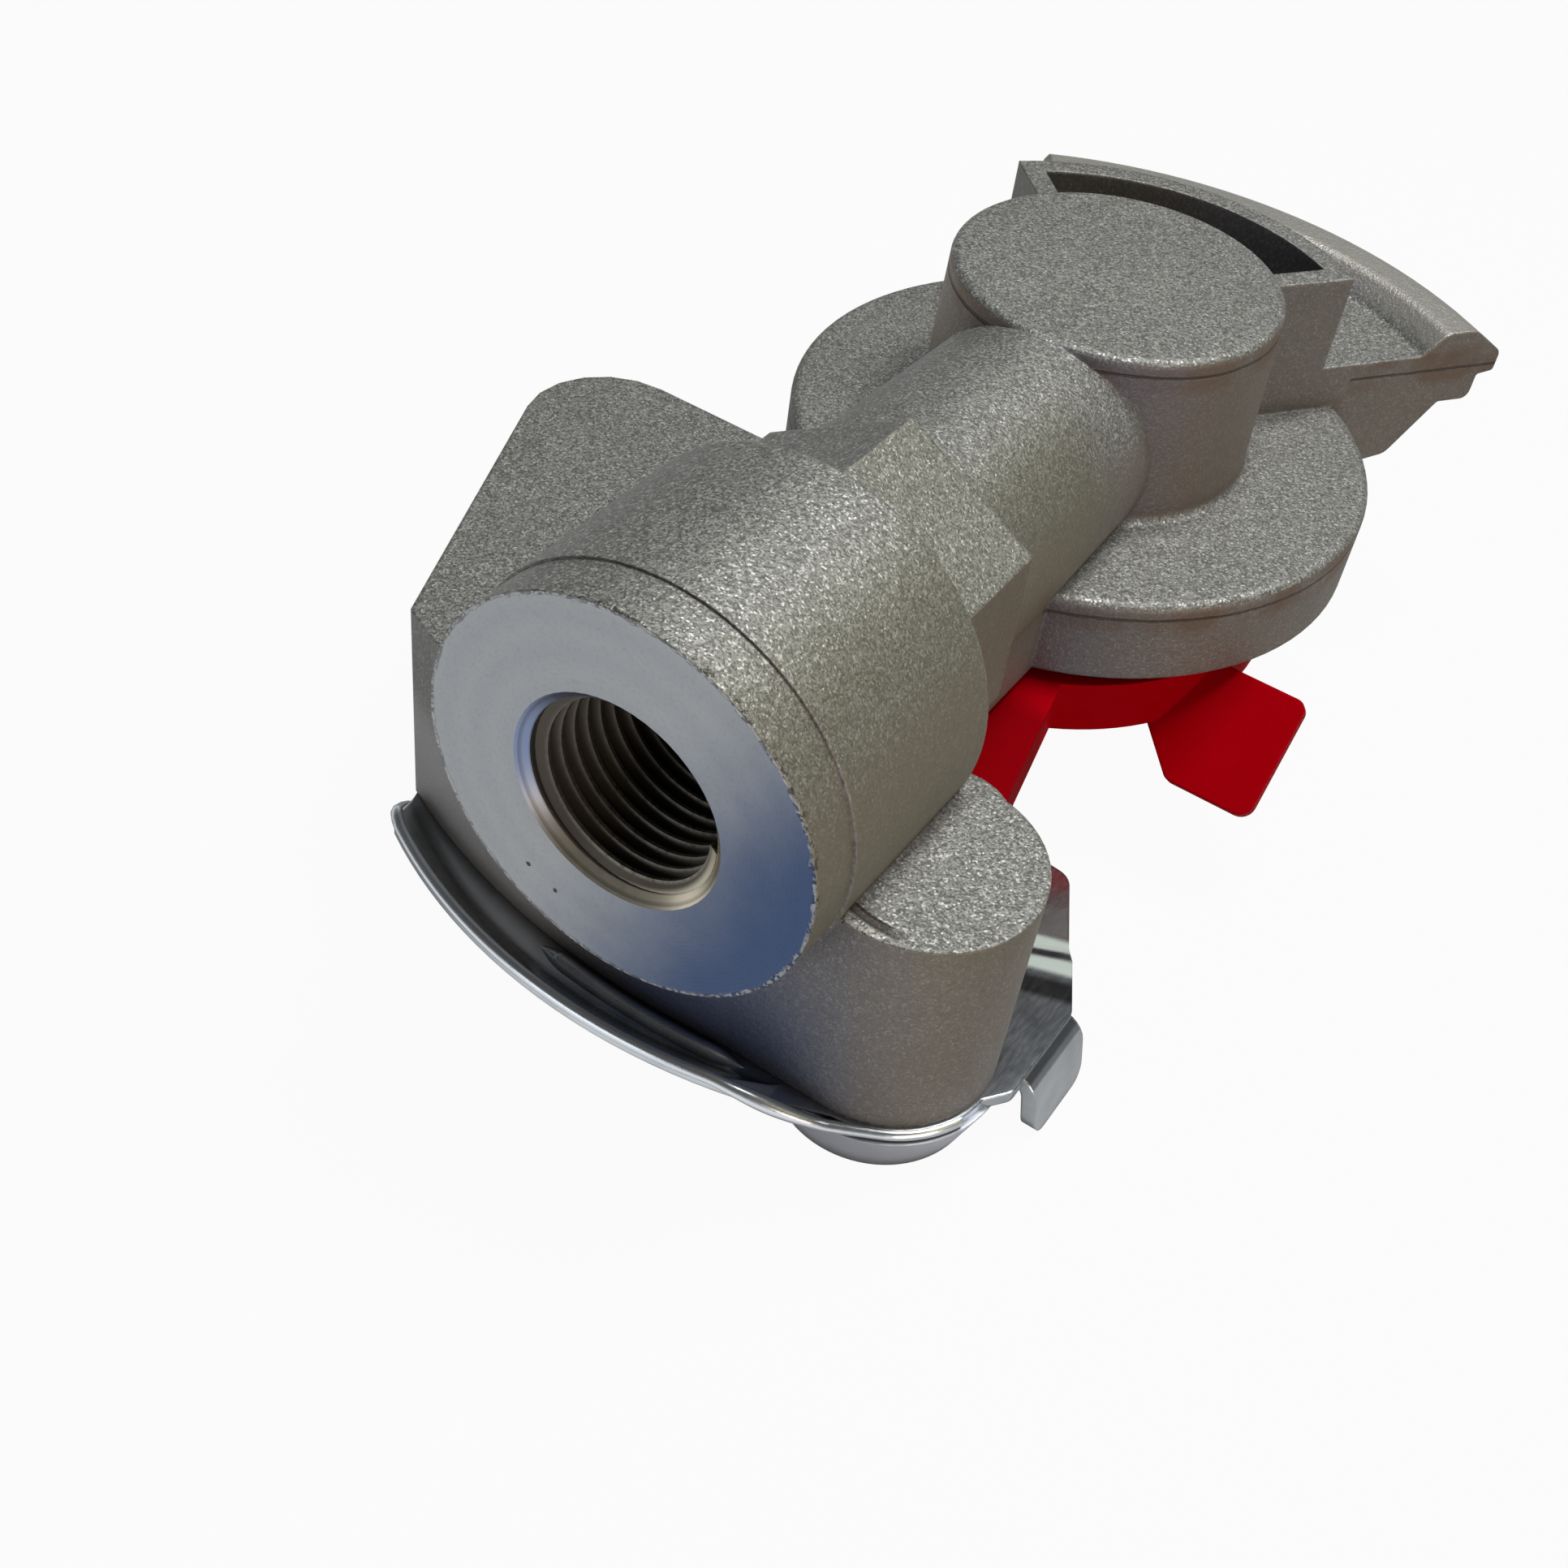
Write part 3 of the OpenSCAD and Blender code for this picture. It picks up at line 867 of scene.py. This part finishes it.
@dataclass(frozen=True)
class PlatedFinish:
    """Zinc-plated steel, darker in hollows, with painted pale and dark reflections in bands where
    a sheet is bent.
    """

    name: str
    light: Colour
    dull: Colour
    metallic: float
    roughness: float
    # Share of darkening in hollows: partly soiling, partly painted shade.
    dirt_and_shade: float = 0.85
    # Dark soiling, also laid as painted shade in hollows and as the painted dark reflections.
    grime_and_shade: Colour = (0.030, 0.026, 0.024)
    hollow_reach: float = 2.5
    hollow_cut: Span = (0.1, 0.9)
    cloud: float = 4.0
    cloud_cut: Span = (0.35, 0.75)
    cloud_share: float = 0.5
    cloud_rough: float = 0.12
    scratch: float = 0.35
    scratch_run: Point = (1.0, 0.18, 1.0)
    scratch_rough: float = 0.10
    scratch_h: float = 0.4
    relief: float = 0.02
    rounding: float = 0.3
    # Colour of the painted pale reflections.
    pale: Colour = (0.80, 0.92, 0.86)
    pale_reflections: tuple[Span, ...] = ()
    pale_metallic: float = 0.6
    dark_reflections: tuple[Span, ...] = ()
    dark_share: float = 0.8
    band_x: Span = (15.0, 17.0)
    band_at: float = 24.0
    band_slant: float = 0.35

    def material(self) -> bpy.types.Material:
        """Builds the material.

        Returns:
            The material.
        """
        g = Graph(bpy.data.materials.new(self.name))
        cloud = g.noise(self.cloud, detail=4.0)
        scratch = g.noise(self.scratch, detail=3.0, stretch=self.scratch_run)
        # Darker in hollows: partly soiling, partly painted shade.
        hollow = (1.0 - g.open_sky(self.hollow_reach)).ramp(*self.hollow_cut)
        colour = g.blend(cloud.ramp(*self.cloud_cut) * self.cloud_share, self.light, self.dull)
        colour = g.blend(hollow * self.dirt_and_shade, colour, self.grime_and_shade)
        metallic: Number = self.metallic
        # Painted dark reflections, in the colour of soiling.
        if self.dark_reflections:
            dark = self._bands(g, self.dark_reflections)
            colour = g.blend(dark * self.dark_share, colour, self.grime_and_shade)
        # Painted pale reflections, which are less metallic.
        if self.pale_reflections:
            pale = self._bands(g, self.pale_reflections)
            colour = g.blend(pale, colour, self.pale)
            metallic = self.metallic - pale * self.pale_metallic
        rough = cloud.centred() * self.cloud_rough + scratch.centred() * self.scratch_rough
        height = scratch * self.scratch_h + cloud
        return g.finish(
            {
                "Base Color": colour,
                "Metallic": metallic,
                "Roughness": self.roughness + rough,
                "Normal": g.bump(height, self.relief, g.softened(self.rounding)),
            }
        )

    def _bands(self, g: Graph, bands: tuple[Span, ...]) -> Value:
        """Soft bands of painted reflection across the right side of the sheet.

        Args:
            g: The material's graph.
            bands: The middle of each band along Y and its half width, in millimetres.

        Returns:
            The mask.
        """
        x, y, _ = g.millimetres()
        right = x.ramp(*self.band_x)
        along = y - (x - self.band_at) * self.band_slant
        mask: Number = 0.0
        for middle, width in bands:
            mask = (along.near(middle, width) * right).most(mask)
        return mask


@dataclass(frozen=True)
class MouldedFinish:
    """Moulded plastic or rubber with a fine satin skin, paler edges as painted highlight, and
    painted shade near the pivot where set.
    """

    name: str
    colour: Colour
    pale: Colour
    roughness: float
    shine: float = 0.5
    cloud: float = 5.0
    cloud_cut: Span = (0.3, 0.8)
    cloud_share: float = 0.25
    cloud_rough: float = 0.12
    edge_w: float = 0.4
    edge_highlight: float = 0.6
    skin: float = 0.25
    relief: float = 0.015
    rounding: float = 0.35
    shade: float = 0.0
    shaded_y: Span = (41.0, 45.0)

    def material(self) -> bpy.types.Material:
        """Builds the material.

        Returns:
            The material.
        """
        g = Graph(bpy.data.materials.new(self.name))
        cloud = g.noise(self.cloud, detail=3.0)
        skin = g.noise(self.skin, detail=2.0)
        clouded = cloud.ramp(*self.cloud_cut) * self.cloud_share
        colour = g.blend(clouded, self.colour, self.pale)
        # Painted highlight along the edges.
        colour = g.blend(g.edges(self.edge_w) * self.edge_highlight, colour, self.pale)
        # Painted shade on the arm near the pivot.
        if self.shade:
            _, y, _ = g.millimetres()
            colour = g.blend(y.ramp(*self.shaded_y, self.shade, 0.0), colour, BLACK)
        return g.finish(
            {
                "Base Color": colour,
                "Specular IOR Level": self.shine,
                "Roughness": self.roughness + cloud.centred() * self.cloud_rough,
                "Normal": g.bump(skin, self.relief, g.softened(self.rounding)),
            }
        )


def clear_selection() -> None:
    """Leaves edit mode and deselects every object."""
    if bpy.context.mode != "OBJECT":
        bpy.ops.object.mode_set(mode="OBJECT")
    bpy.ops.object.select_all(action="DESELECT")


def make_active(piece: bpy.types.Object) -> None:
    """Selects one object alone and makes it active.

    Args:
        piece: The object.
    """
    clear_selection()
    piece.select_set(True)
    bpy.context.view_layer.objects.active = piece


def pick_vertices(piece: bpy.types.Object, wanted: Callable[[Vector], bool]) -> None:
    """Selects vertices by their place, in edit mode.

    Args:
        piece: The mesh object, in edit mode.
        wanted: Says whether a vertex at a place is selected.
    """
    bpy.ops.mesh.select_mode(type="VERT")
    bpy.ops.mesh.select_all(action="DESELECT")
    bpy.ops.object.mode_set(mode="OBJECT")
    for vertex in piece.data.vertices:
        vertex.select = wanted(vertex.co)
    bpy.ops.object.mode_set(mode="EDIT")


def apply_place(piece: bpy.types.Object) -> None:
    """Moves an object's place, turn and scale into its mesh."""
    make_active(piece)
    bpy.ops.object.transform_apply(location=True, rotation=True, scale=True)


def apply_modifier(
    piece: bpy.types.Object, kind: str, name: str, settings: dict[str, Any]
) -> None:
    """Adds a modifier and applies it.

    Args:
        piece: The mesh object.
        kind: The modifier's type.
        name: The modifier's name.
        settings: Its properties.
    """
    make_active(piece)
    modifier = piece.modifiers.new(name, kind)
    for key, setting in settings.items():
        setattr(modifier, key, setting)
    bpy.ops.object.modifier_apply(modifier=name)


def clean_mesh(piece: bpy.types.Object, smooth_deg: float, merge_mm: float = 0.001) -> None:
    """Merges doubles, turns the faces of a mesh outwards and smooths it.

    Args:
        piece: The mesh object.
        smooth_deg: The angle in degrees over which an edge stays sharp.
        merge_mm: The distance under which vertices merge.
    """
    make_active(piece)
    bpy.ops.object.mode_set(mode="EDIT")
    bpy.ops.mesh.select_all(action="SELECT")
    bpy.ops.mesh.remove_doubles(threshold=merge_mm * MM)
    bpy.ops.mesh.normals_make_consistent(inside=False)
    bpy.ops.object.mode_set(mode="OBJECT")
    make_active(piece)
    bpy.ops.object.shade_smooth_by_angle(angle=math.radians(smooth_deg))


def dress(piece: bpy.types.Object, material: bpy.types.Material) -> None:
    """Gives a piece one material all over."""
    piece.data.materials.clear()
    piece.data.materials.append(material)


def report(piece: bpy.types.Object, body: Body, slot: Slot) -> None:
    """Reports a finished piece.

    Args:
        piece: The piece.
        body: The body that it moves with.
        slot: Its material slot.
    """
    faces = len(piece.data.polygons)
    LOG.info("%s: %d faces on %s, %s", piece.name, faces, body.value, slot.value)


def settle(piece: bpy.types.Object, body: Body, slot: Slot) -> None:
    """Lets a finished piece ride on a body and reports it with its material slot.

    Args:
        piece: The piece.
        body: The body that it moves with.
        slot: Its material slot.
    """
    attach(piece, body.value)
    report(piece, body, slot)


@dataclass
class PortThread:
    """The thread in the port, as a ridge that winds along the bore wall."""

    wall_r: float = 8.0
    crest_r: float = 7.22
    pitch: float = 1.5
    root_w: float = 1.28
    crest_w: float = 0.30
    start: float = 0.45
    turns: int = 10
    steps: int = 72
    sunk: float = 0.06
    smooth: float = 35.0
    finish: ThreadFinish = field(default_factory=ThreadFinish)

    def build(self) -> bpy.types.Object:
        """Models the ridge and winds it along the bore.

        Returns:
            The finished ridge.
        """
        ridge = self._section()
        apply_modifier(
            ridge,
            "SCREW",
            "winding",
            {
                "axis": "Y",
                "angle": 2.0 * math.pi,
                "screw_offset": self.pitch * MM,
                "iterations": self.turns,
                "steps": self.steps,
                "render_steps": self.steps,
                "use_normal_calculate": True,
            },
        )
        self._close_ends(ridge)
        clean_mesh(ridge, self.smooth)
        return ridge

    def _section(self) -> bpy.types.Object:
        """Draws the outline of the ridge, narrower at its crest.

        Returns:
            The outline.
        """
        clear_selection()
        outer = self.wall_r + self.sunk
        middle = (outer + self.crest_r) / 2.0
        bpy.ops.mesh.primitive_plane_add(size=1.0, location=(middle * MM, self.start * MM, 0.0))
        ridge = bpy.context.object
        ridge.name = "port_thread"
        ridge.scale = ((outer - self.crest_r) * MM, self.root_w * MM, 1.0)
        apply_place(ridge)
        bpy.ops.object.mode_set(mode="EDIT")
        pick_vertices(ridge, lambda co: co.x < middle * MM)
        narrow = self.crest_w / self.root_w
        crest = (self.crest_r * MM, self.start * MM, 0.0)
        bpy.ops.transform.resize(value=(1.0, narrow, 1.0), center_override=crest)
        bpy.ops.mesh.select_all(action="SELECT")
        bpy.ops.mesh.delete(type="ONLY_FACE")
        bpy.ops.object.mode_set(mode="OBJECT")
        return ridge

    def _close_ends(self, ridge: bpy.types.Object) -> None:
        """Caps the two open ends of the ridge.

        Args:
            ridge: The wound ridge.
        """
        make_active(ridge)
        bpy.ops.object.mode_set(mode="EDIT")
        bpy.ops.mesh.select_mode(type="EDGE")
        bpy.ops.mesh.select_all(action="DESELECT")
        bpy.ops.mesh.select_non_manifold()
        bpy.ops.mesh.edge_face_add()
        bpy.ops.object.mode_set(mode="OBJECT")

    def make(self) -> None:
        """Builds the thread and sets it in the port."""
        ridge = self.build()
        dress(ridge, self.finish.material())
        settle(ridge, Body.HEAD, Slot.CASTING)


@dataclass
class Casting:
    """The die-cast body with its machined port."""

    face_y: float = FACE_Y
    face_slack: float = 0.05
    face_turn: float = -0.9
    bore_r: Span = (5.0, 8.95)
    bore_y: Span = (FACE_Y - 0.01, 16.3)
    cast: CastFinish = field(default_factory=CastFinish)
    turned: TurnedFinish = field(default_factory=TurnedFinish)
    thread: ThreadFinish = field(default_factory=ThreadFinish)

    def make(self, node: bpy.types.Object) -> None:
        """Dresses the CAD body: cast skin, turned face and cut bore.

        Args:
            node: The CAD node of the body.
        """
        dress(node, self.cast.material())
        node.data.materials.append(self.turned.material())
        node.data.materials.append(self.thread.material())
        for face in node.data.polygons:
            face.material_index = self._finish_of(face.center / MM, face.normal)
        report(node, Body.HEAD, Slot.CASTING)

    def _finish_of(self, at: Vector, normal: Vector) -> int:
        """The material of a face.

        Args:
            at: The face's centre in millimetres.
            normal: Its direction.

        Returns:
            0 for the cast skin, 1 for the turned face, 2 for the bore.
        """
        radius = math.hypot(at.x, at.z)
        in_bore = self.bore_r[0] < radius < self.bore_r[1]
        if in_bore and self.bore_y[0] < at.y < self.bore_y[1]:
            return 2
        if normal.y < self.face_turn and at.y < self.face_y + self.face_slack:
            return 1
        return 0


def even(value: float, start: float, end: float) -> float:
    """Nought up to the start, one from the end, and a straight rise between."""
    return min(max((value - start) / (end - start), 0.0), 1.0)


def eased(value: float, start: float, end: float) -> float:
    """Nought up to the start, one from the end, and a smooth rise between."""
    share = even(value, start, end)
    return share * share * (3.0 - 2.0 * share)


@dataclass(frozen=True)
class Sweep:
    """A round section that is swept along a path."""

    name: str
    thick: float
    round_steps: int = 5
    smooth: float = 40.0

    def build(self, points: Sequence[Point], sizes: Sequence[float]) -> bpy.types.Object:
        """Sweeps the section.

        Args:
            points: The path in millimetres.
            sizes: The share of the section's radius at each point.

        Returns:
            The swept piece.
        """
        clear_selection()
        mesh = bpy.data.meshes.new(self.name)
        links = [(place, place + 1) for place in range(len(points) - 1)]
        mesh.from_pydata([Vector(point) * MM for point in points], links, [])
        piece = bpy.data.objects.new(self.name, mesh)
        bpy.context.collection.objects.link(piece)
        make_active(piece)
        bpy.ops.object.convert(target="CURVE")
        piece.data.bevel_depth = self.thick * MM
        piece.data.bevel_resolution = self.round_steps
        piece.data.use_fill_caps = True
        for point, size in zip(piece.data.splines[0].points, sizes):
            point.radius = size
        bpy.ops.object.convert(target="MESH")
        clean_mesh(piece, self.smooth)
        return piece


@dataclass
class PlateRim:
    """The rounded sheet edge along the front of the guide plate."""

    centre: Span = (-1.6, 48.4)
    high_r: float = 49.25
    low_r: float = 48.68
    high_z: float = -23.78
    flat_z: float = -26.05
    fade: Span = (9.6, 18.0)
    straight: float = 0.6
    left: float = -25.3
    meeting: float = 22.0
    step: float = 0.4
    lobe_at: Span = LOBE_AT
    lobe_r: float = 9.4
    lobe_end: int = -18
    lobe_step: int = 3
    left_end: tuple[Point, ...] = (
        (-28.0, 9.2, -25.9),
        (-27.9, 8.3, -25.3),
        (-27.5, 7.3, -24.6),
        (-27.0, 6.6, -24.05),
        (-26.2, 5.85, -23.82),
    )
    swell: float = 0.35
    section: Sweep = Sweep("plate_rim", thick=0.5)
    finish: PlatedFinish = PlatedFinish(
        "rolled_edge",
        light=(0.84, 0.89, 0.94),
        dull=(0.72, 0.77, 0.83),
        metallic=0.85,
        roughness=0.22,
        dirt_and_shade=0.25,
    )

    def _front(self, x: float) -> tuple[Point, float]:
        """The edge along the front, which drops towards the right lobe.

        Args:
            x: Millimetres to the right of the port axis.

        Returns:
            A point of the edge and the share of its thickness there.
        """
        drop = even(x, *self.fade)
        mixed = drop * self.straight + eased(x, *self.fade) * (1.0 - self.straight)
        height = self.high_z + (self.flat_z - self.high_z) * mixed
        inwards = eased(x, self.fade[0], self.meeting)
        radius = self.high_r + (self.low_r - self.high_r) * inwards
        y = self.centre[1] - math.sqrt(radius**2 - (x - self.centre[0]) ** 2)
        return (x, y, height), 1.0 + math.sin(math.pi * drop) ** 2 * self.swell

    def _path(self) -> tuple[list[Point], list[float]]:
        """The middle of the edge and its thickness.

        Returns:
            The points in millimetres, from the left end to the right lobe, and the share of the
            thickness at each.
        """
        points = list(self.left_end)
        sizes = [1.0] * len(points)
        for place in range(int((self.meeting - self.left) / self.step) + 1):
            point, size = self._front(self.left + place * self.step)
            points.append(point)
            sizes.append(size)
        turn = math.degrees(math.acos((self.meeting - self.lobe_at[0]) / self.lobe_r))
        for degrees in range(int(-turn) + self.lobe_step, self.lobe_end, self.lobe_step):
            angle = math.radians(degrees)
            x = self.lobe_at[0] + self.lobe_r * math.cos(angle)
            points.append((x, self.lobe_at[1] + self.lobe_r * math.sin(angle), self.flat_z))
            sizes.append(1.0)
        return points, sizes

    def make(self) -> None:
        """Sweeps the edge and sets it on the plate."""
        rim = self.section.build(*self._path())
        dress(rim, self.finish.material())
        settle(rim, Body.HEAD, Slot.STEEL)


@dataclass
class PressedBead:
    """The stiffening bead that is pressed up out of the guide plate."""

    turret_y: float = TURRET_Y
    radius: float = 67.9
    height: float = -25.65
    angles: Span = (-98.2, -80.8)
    taper: float = 3.4
    tip: float = 0.02
    steps: int = 60
    section: Sweep = Sweep("plate_bead", thick=0.85)

    def make(self, material: bpy.types.Material) -> None:
        """Sweeps the bead and sets it on the plate.

        Args:
            material: The plate's finish.
        """
        points: list[Point] = []
        sizes: list[float] = []
        start, end = self.angles
        length = self.radius * math.radians(end - start)
        for place in range(self.steps + 1):
            share = (1.0 - math.cos(math.pi * place / self.steps)) / 2.0
            angle = math.radians(start + (end - start) * share)
            inside = min(min(share, 1.0 - share) * length / self.taper, 1.0)
            x = self.radius * math.cos(angle)
            points.append((x, self.turret_y + self.radius * math.sin(angle), self.height))
            sizes.append(max(math.sin(math.pi * inside / 2.0), self.tip))
        bead = self.section.build(points, sizes)
        dress(bead, material)
        settle(bead, Body.HEAD, Slot.STEEL)


@dataclass
class GuidePlate:
    """The plated guide plate, its rivets and the steel parts of the pivot."""

    rim: PlateRim = field(default_factory=PlateRim)
    bead: PressedBead = field(default_factory=PressedBead)
    sheet: PlatedFinish = PlatedFinish(
        "bright_plating",
        light=(0.68, 0.72, 0.76),
        dull=(0.40, 0.44, 0.48),
        metallic=1.0,
        roughness=0.18,
        pale_reflections=((32.2, 1.3), (28.6, 1.3)),
        dark_reflections=((30.4, 0.8), (25.8, 1.6)),
    )
    turned: PlatedFinish = PlatedFinish(
        "satin_plating",
        light=(0.74, 0.79, 0.88),
        dull=(0.60, 0.65, 0.74),
        metallic=0.75,
        roughness=0.38,
    )

    def make(self, nodes: dict[str, bpy.types.Object]) -> None:
        """Dresses the plate, the rivets, the pin and the washer.

        Args:
            nodes: The CAD nodes by name.
        """
        sheet = self.sheet.material()
        dress(nodes["guide_plate"], sheet)
        report(nodes["guide_plate"], Body.HEAD, Slot.STEEL)
        self.bead.make(sheet)
        satin = self.turned.material()
        for name in ("plate_rivets", "pivot_pin", "pivot_washer"):
            dress(nodes[name], satin)
            report(nodes[name], Body.HEAD, Slot.STEEL)
        self.rim.make()


@dataclass
class DustCover:
    """The red swivelling cover."""

    finish: MouldedFinish = MouldedFinish(
        "red_plastic",
        colour=(0.40, 0.0, 0.004),
        pale=(0.50, 0.0, 0.012),
        roughness=0.5,
        shine=0.01,
        # Painted shade on the arm, which lies under the body.
        shade=0.4,
    )

    def make(self, node: bpy.types.Object) -> None:
        """Dresses the cover in red plastic."""
        dress(node, self.finish.material())
        report(node, Body.COVER, Slot.PLASTIC)


@dataclass
class FaceSeal:
    """The rubber ring in the coupling face."""

    finish: MouldedFinish = MouldedFinish(
        "black_rubber",
        colour=(0.012, 0.012, 0.012),
        pale=(0.04, 0.04, 0.04),
        roughness=0.6,
    )

    def make(self, node: bpy.types.Object) -> None:
        """Dresses the ring in rubber."""
        dress(node, self.finish.material())
        report(node, Body.HEAD, Slot.RUBBER)


@dataclass(frozen=True)
class Lamp:
    """A square soft lamp aimed at a point."""

    name: str
    at: Point
    aim: Point
    power: float
    colour: Colour = WHITE
    side: float = 200.0

    def make(self) -> None:
        """Adds the lamp."""
        clear_selection()
        bpy.ops.object.light_add(type="AREA", location=Vector(self.at) * MM)
        lamp = bpy.context.object
        lamp.name = self.name
        lamp.data.shape = "SQUARE"
        lamp.data.size = self.side * MM
        lamp.data.energy = self.power
        lamp.data.color = self.colour
        towards = (Vector(self.aim) - Vector(self.at)).normalized()
        lamp.rotation_euler = towards.to_track_quat("-Z", "Y").to_euler()


@dataclass
class Studio:
    """Pale floor, soft light and the camera of the photograph."""

    floor_side: float = 4000.0
    floor_colour: Colour = (0.38, 0.38, 0.38)
    floor_glow: float = 0.95
    gloss: Span = (0.80, 0.12)
    gloss_x: Span = (-90.0, -40.0)
    gloss_y: Span = (-8.0, 2.0)
    world_light: float = 0.09
    horizon: float = 0.25
    zenith: float = 0.05
    zenith_z: float = 0.5
    eye: Point = (52.64, -77.37, 92.24)
    right: Point = (0.8261, 0.5522, 0.1117)
    up: Point = (-0.4527, 0.5325, 0.7152)
    back: Point = (0.3355, -0.6414, 0.6899)
    lens: float = 44.14
    sensor: float = 36.0
    nearest: float = 5.0
    lamps: Sequence[Lamp] = (
        Lamp("key", (70.0, 150.0, 425.0), (5.0, 35.0, 0.0), 1.85),
        Lamp("right_high", (300.0, 20.0, 220.0), (0.0, 40.0, 0.0), 0.07, (1.0, 1.0, 0.55)),
        Lamp("right_low", (330.0, -160.0, 20.0), (0.0, 40.0, 0.0), 0.55, (1.0, 0.82, 0.72)),
        Lamp("front_left", (-130.0, -340.0, -5.0), (0.0, 0.0, -10.0), 0.20, (0.88, 0.94, 1.0)),
    )

    def _floor(self, height: float) -> None:
        """Lays the floor, which is brighter in reflections at the left and in front.

        Args:
            height: Its height in metres.
        """
        clear_selection()
        bpy.ops.mesh.primitive_plane_add(size=self.floor_side * MM, location=(0.0, 0.0, height))
        floor = bpy.context.object
        floor.name = "floor"
        apply_place(floor)
        g = Graph(bpy.data.materials.new("pale_floor"))
        paint = g.node("ShaderNodeBsdfDiffuse", {}, {"Color": self.floor_colour})
        glow = g.node("ShaderNodeEmission", {}, {"Color": WHITE, "Strength": 1.0})
        x, y, _ = g.millimetres()
        gloss = x.ramp(*self.gloss_x, *self.gloss).most(y.ramp(*self.gloss_y, *self.gloss))
        seen = g.ray("Is Camera Ray").most(g.ray("Is Transmission Ray")) * self.floor_glow
        shown = seen.most(g.ray("Is Glossy Ray") * gloss)
        mixed = g.node("ShaderNodeMixShader", {}, {0: shown, 1: paint, 2: glow})
        g.end("ShaderNodeOutputMaterial", mixed)
        dress(floor, g.owner)
        floor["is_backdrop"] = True

    def _world(self) -> None:
        """Surrounds the scene with soft white light, darker overhead in reflections."""
        world = bpy.data.worlds.new("soft_white")
        bpy.context.scene.world = world
        g = Graph(world)
        _, _, above = g.axes(g.node("ShaderNodeTexCoord", {}, {}, "Generated"))
        sockets = {"Value": above, "From Max": self.zenith_z}
        sockets.update({"To Min": self.horizon, "To Max": self.zenith})
        mirrored = g.node("ShaderNodeMapRange", {}, sockets)
        strength: Number = self.world_light
        views = (
            ("Is Glossy Ray", mirrored),
            ("Is Camera Ray", 1.0),
            ("Is Transmission Ray", 1.0),
        )
        for kind, seen in views:
            # The Mix node's sockets for numbers.
            strength = g.node("ShaderNodeMix", {}, {0: g.ray(kind), 2: strength, 3: seen})
        sky = g.node("ShaderNodeBackground", {}, {"Color": WHITE, "Strength": strength})
        g.end("ShaderNodeOutputWorld", sky)

    def _camera(self) -> None:
        """Sets the camera of the photograph."""
        clear_selection()
        bpy.ops.object.camera_add()
        camera = bpy.context.object
        camera.data.lens = self.lens
        camera.data.sensor_width = self.sensor
        camera.data.clip_start = self.nearest * MM
        turn = Matrix((self.right, self.up, self.back)).transposed().to_4x4()
        camera.matrix_world = Matrix.Translation(Vector(self.eye) * MM) @ turn
        bpy.context.scene.camera = camera

    def make(self, floor_height: float) -> None:
        """Builds floor, world, lamps and camera.

        Args:
            floor_height: The height of the floor in metres.
        """
        self._floor(floor_height)
        self._world()
        for lamp in self.lamps:
            lamp.make()
        self._camera()
        bpy.context.scene.view_settings.view_transform = "Standard"
        LOG.info("studio: floor, %d lamps and camera", len(self.lamps))


def main() -> None:
    """Loads the frame, dresses each sub-assembly and sets the studio."""
    logging.basicConfig(level=logging.INFO, format="%(name)s: %(message)s")
    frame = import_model()
    cad_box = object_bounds()
    nodes = frame["nodes"]
    Casting().make(nodes["body"])
    PortThread().make()
    GuidePlate().make(nodes)
    DustCover().make(nodes["dust_cover"])
    FaceSeal().make(nodes["face_seal"])
    Studio().make(cad_box[0].z)


if __name__ == "__main__":
    main()
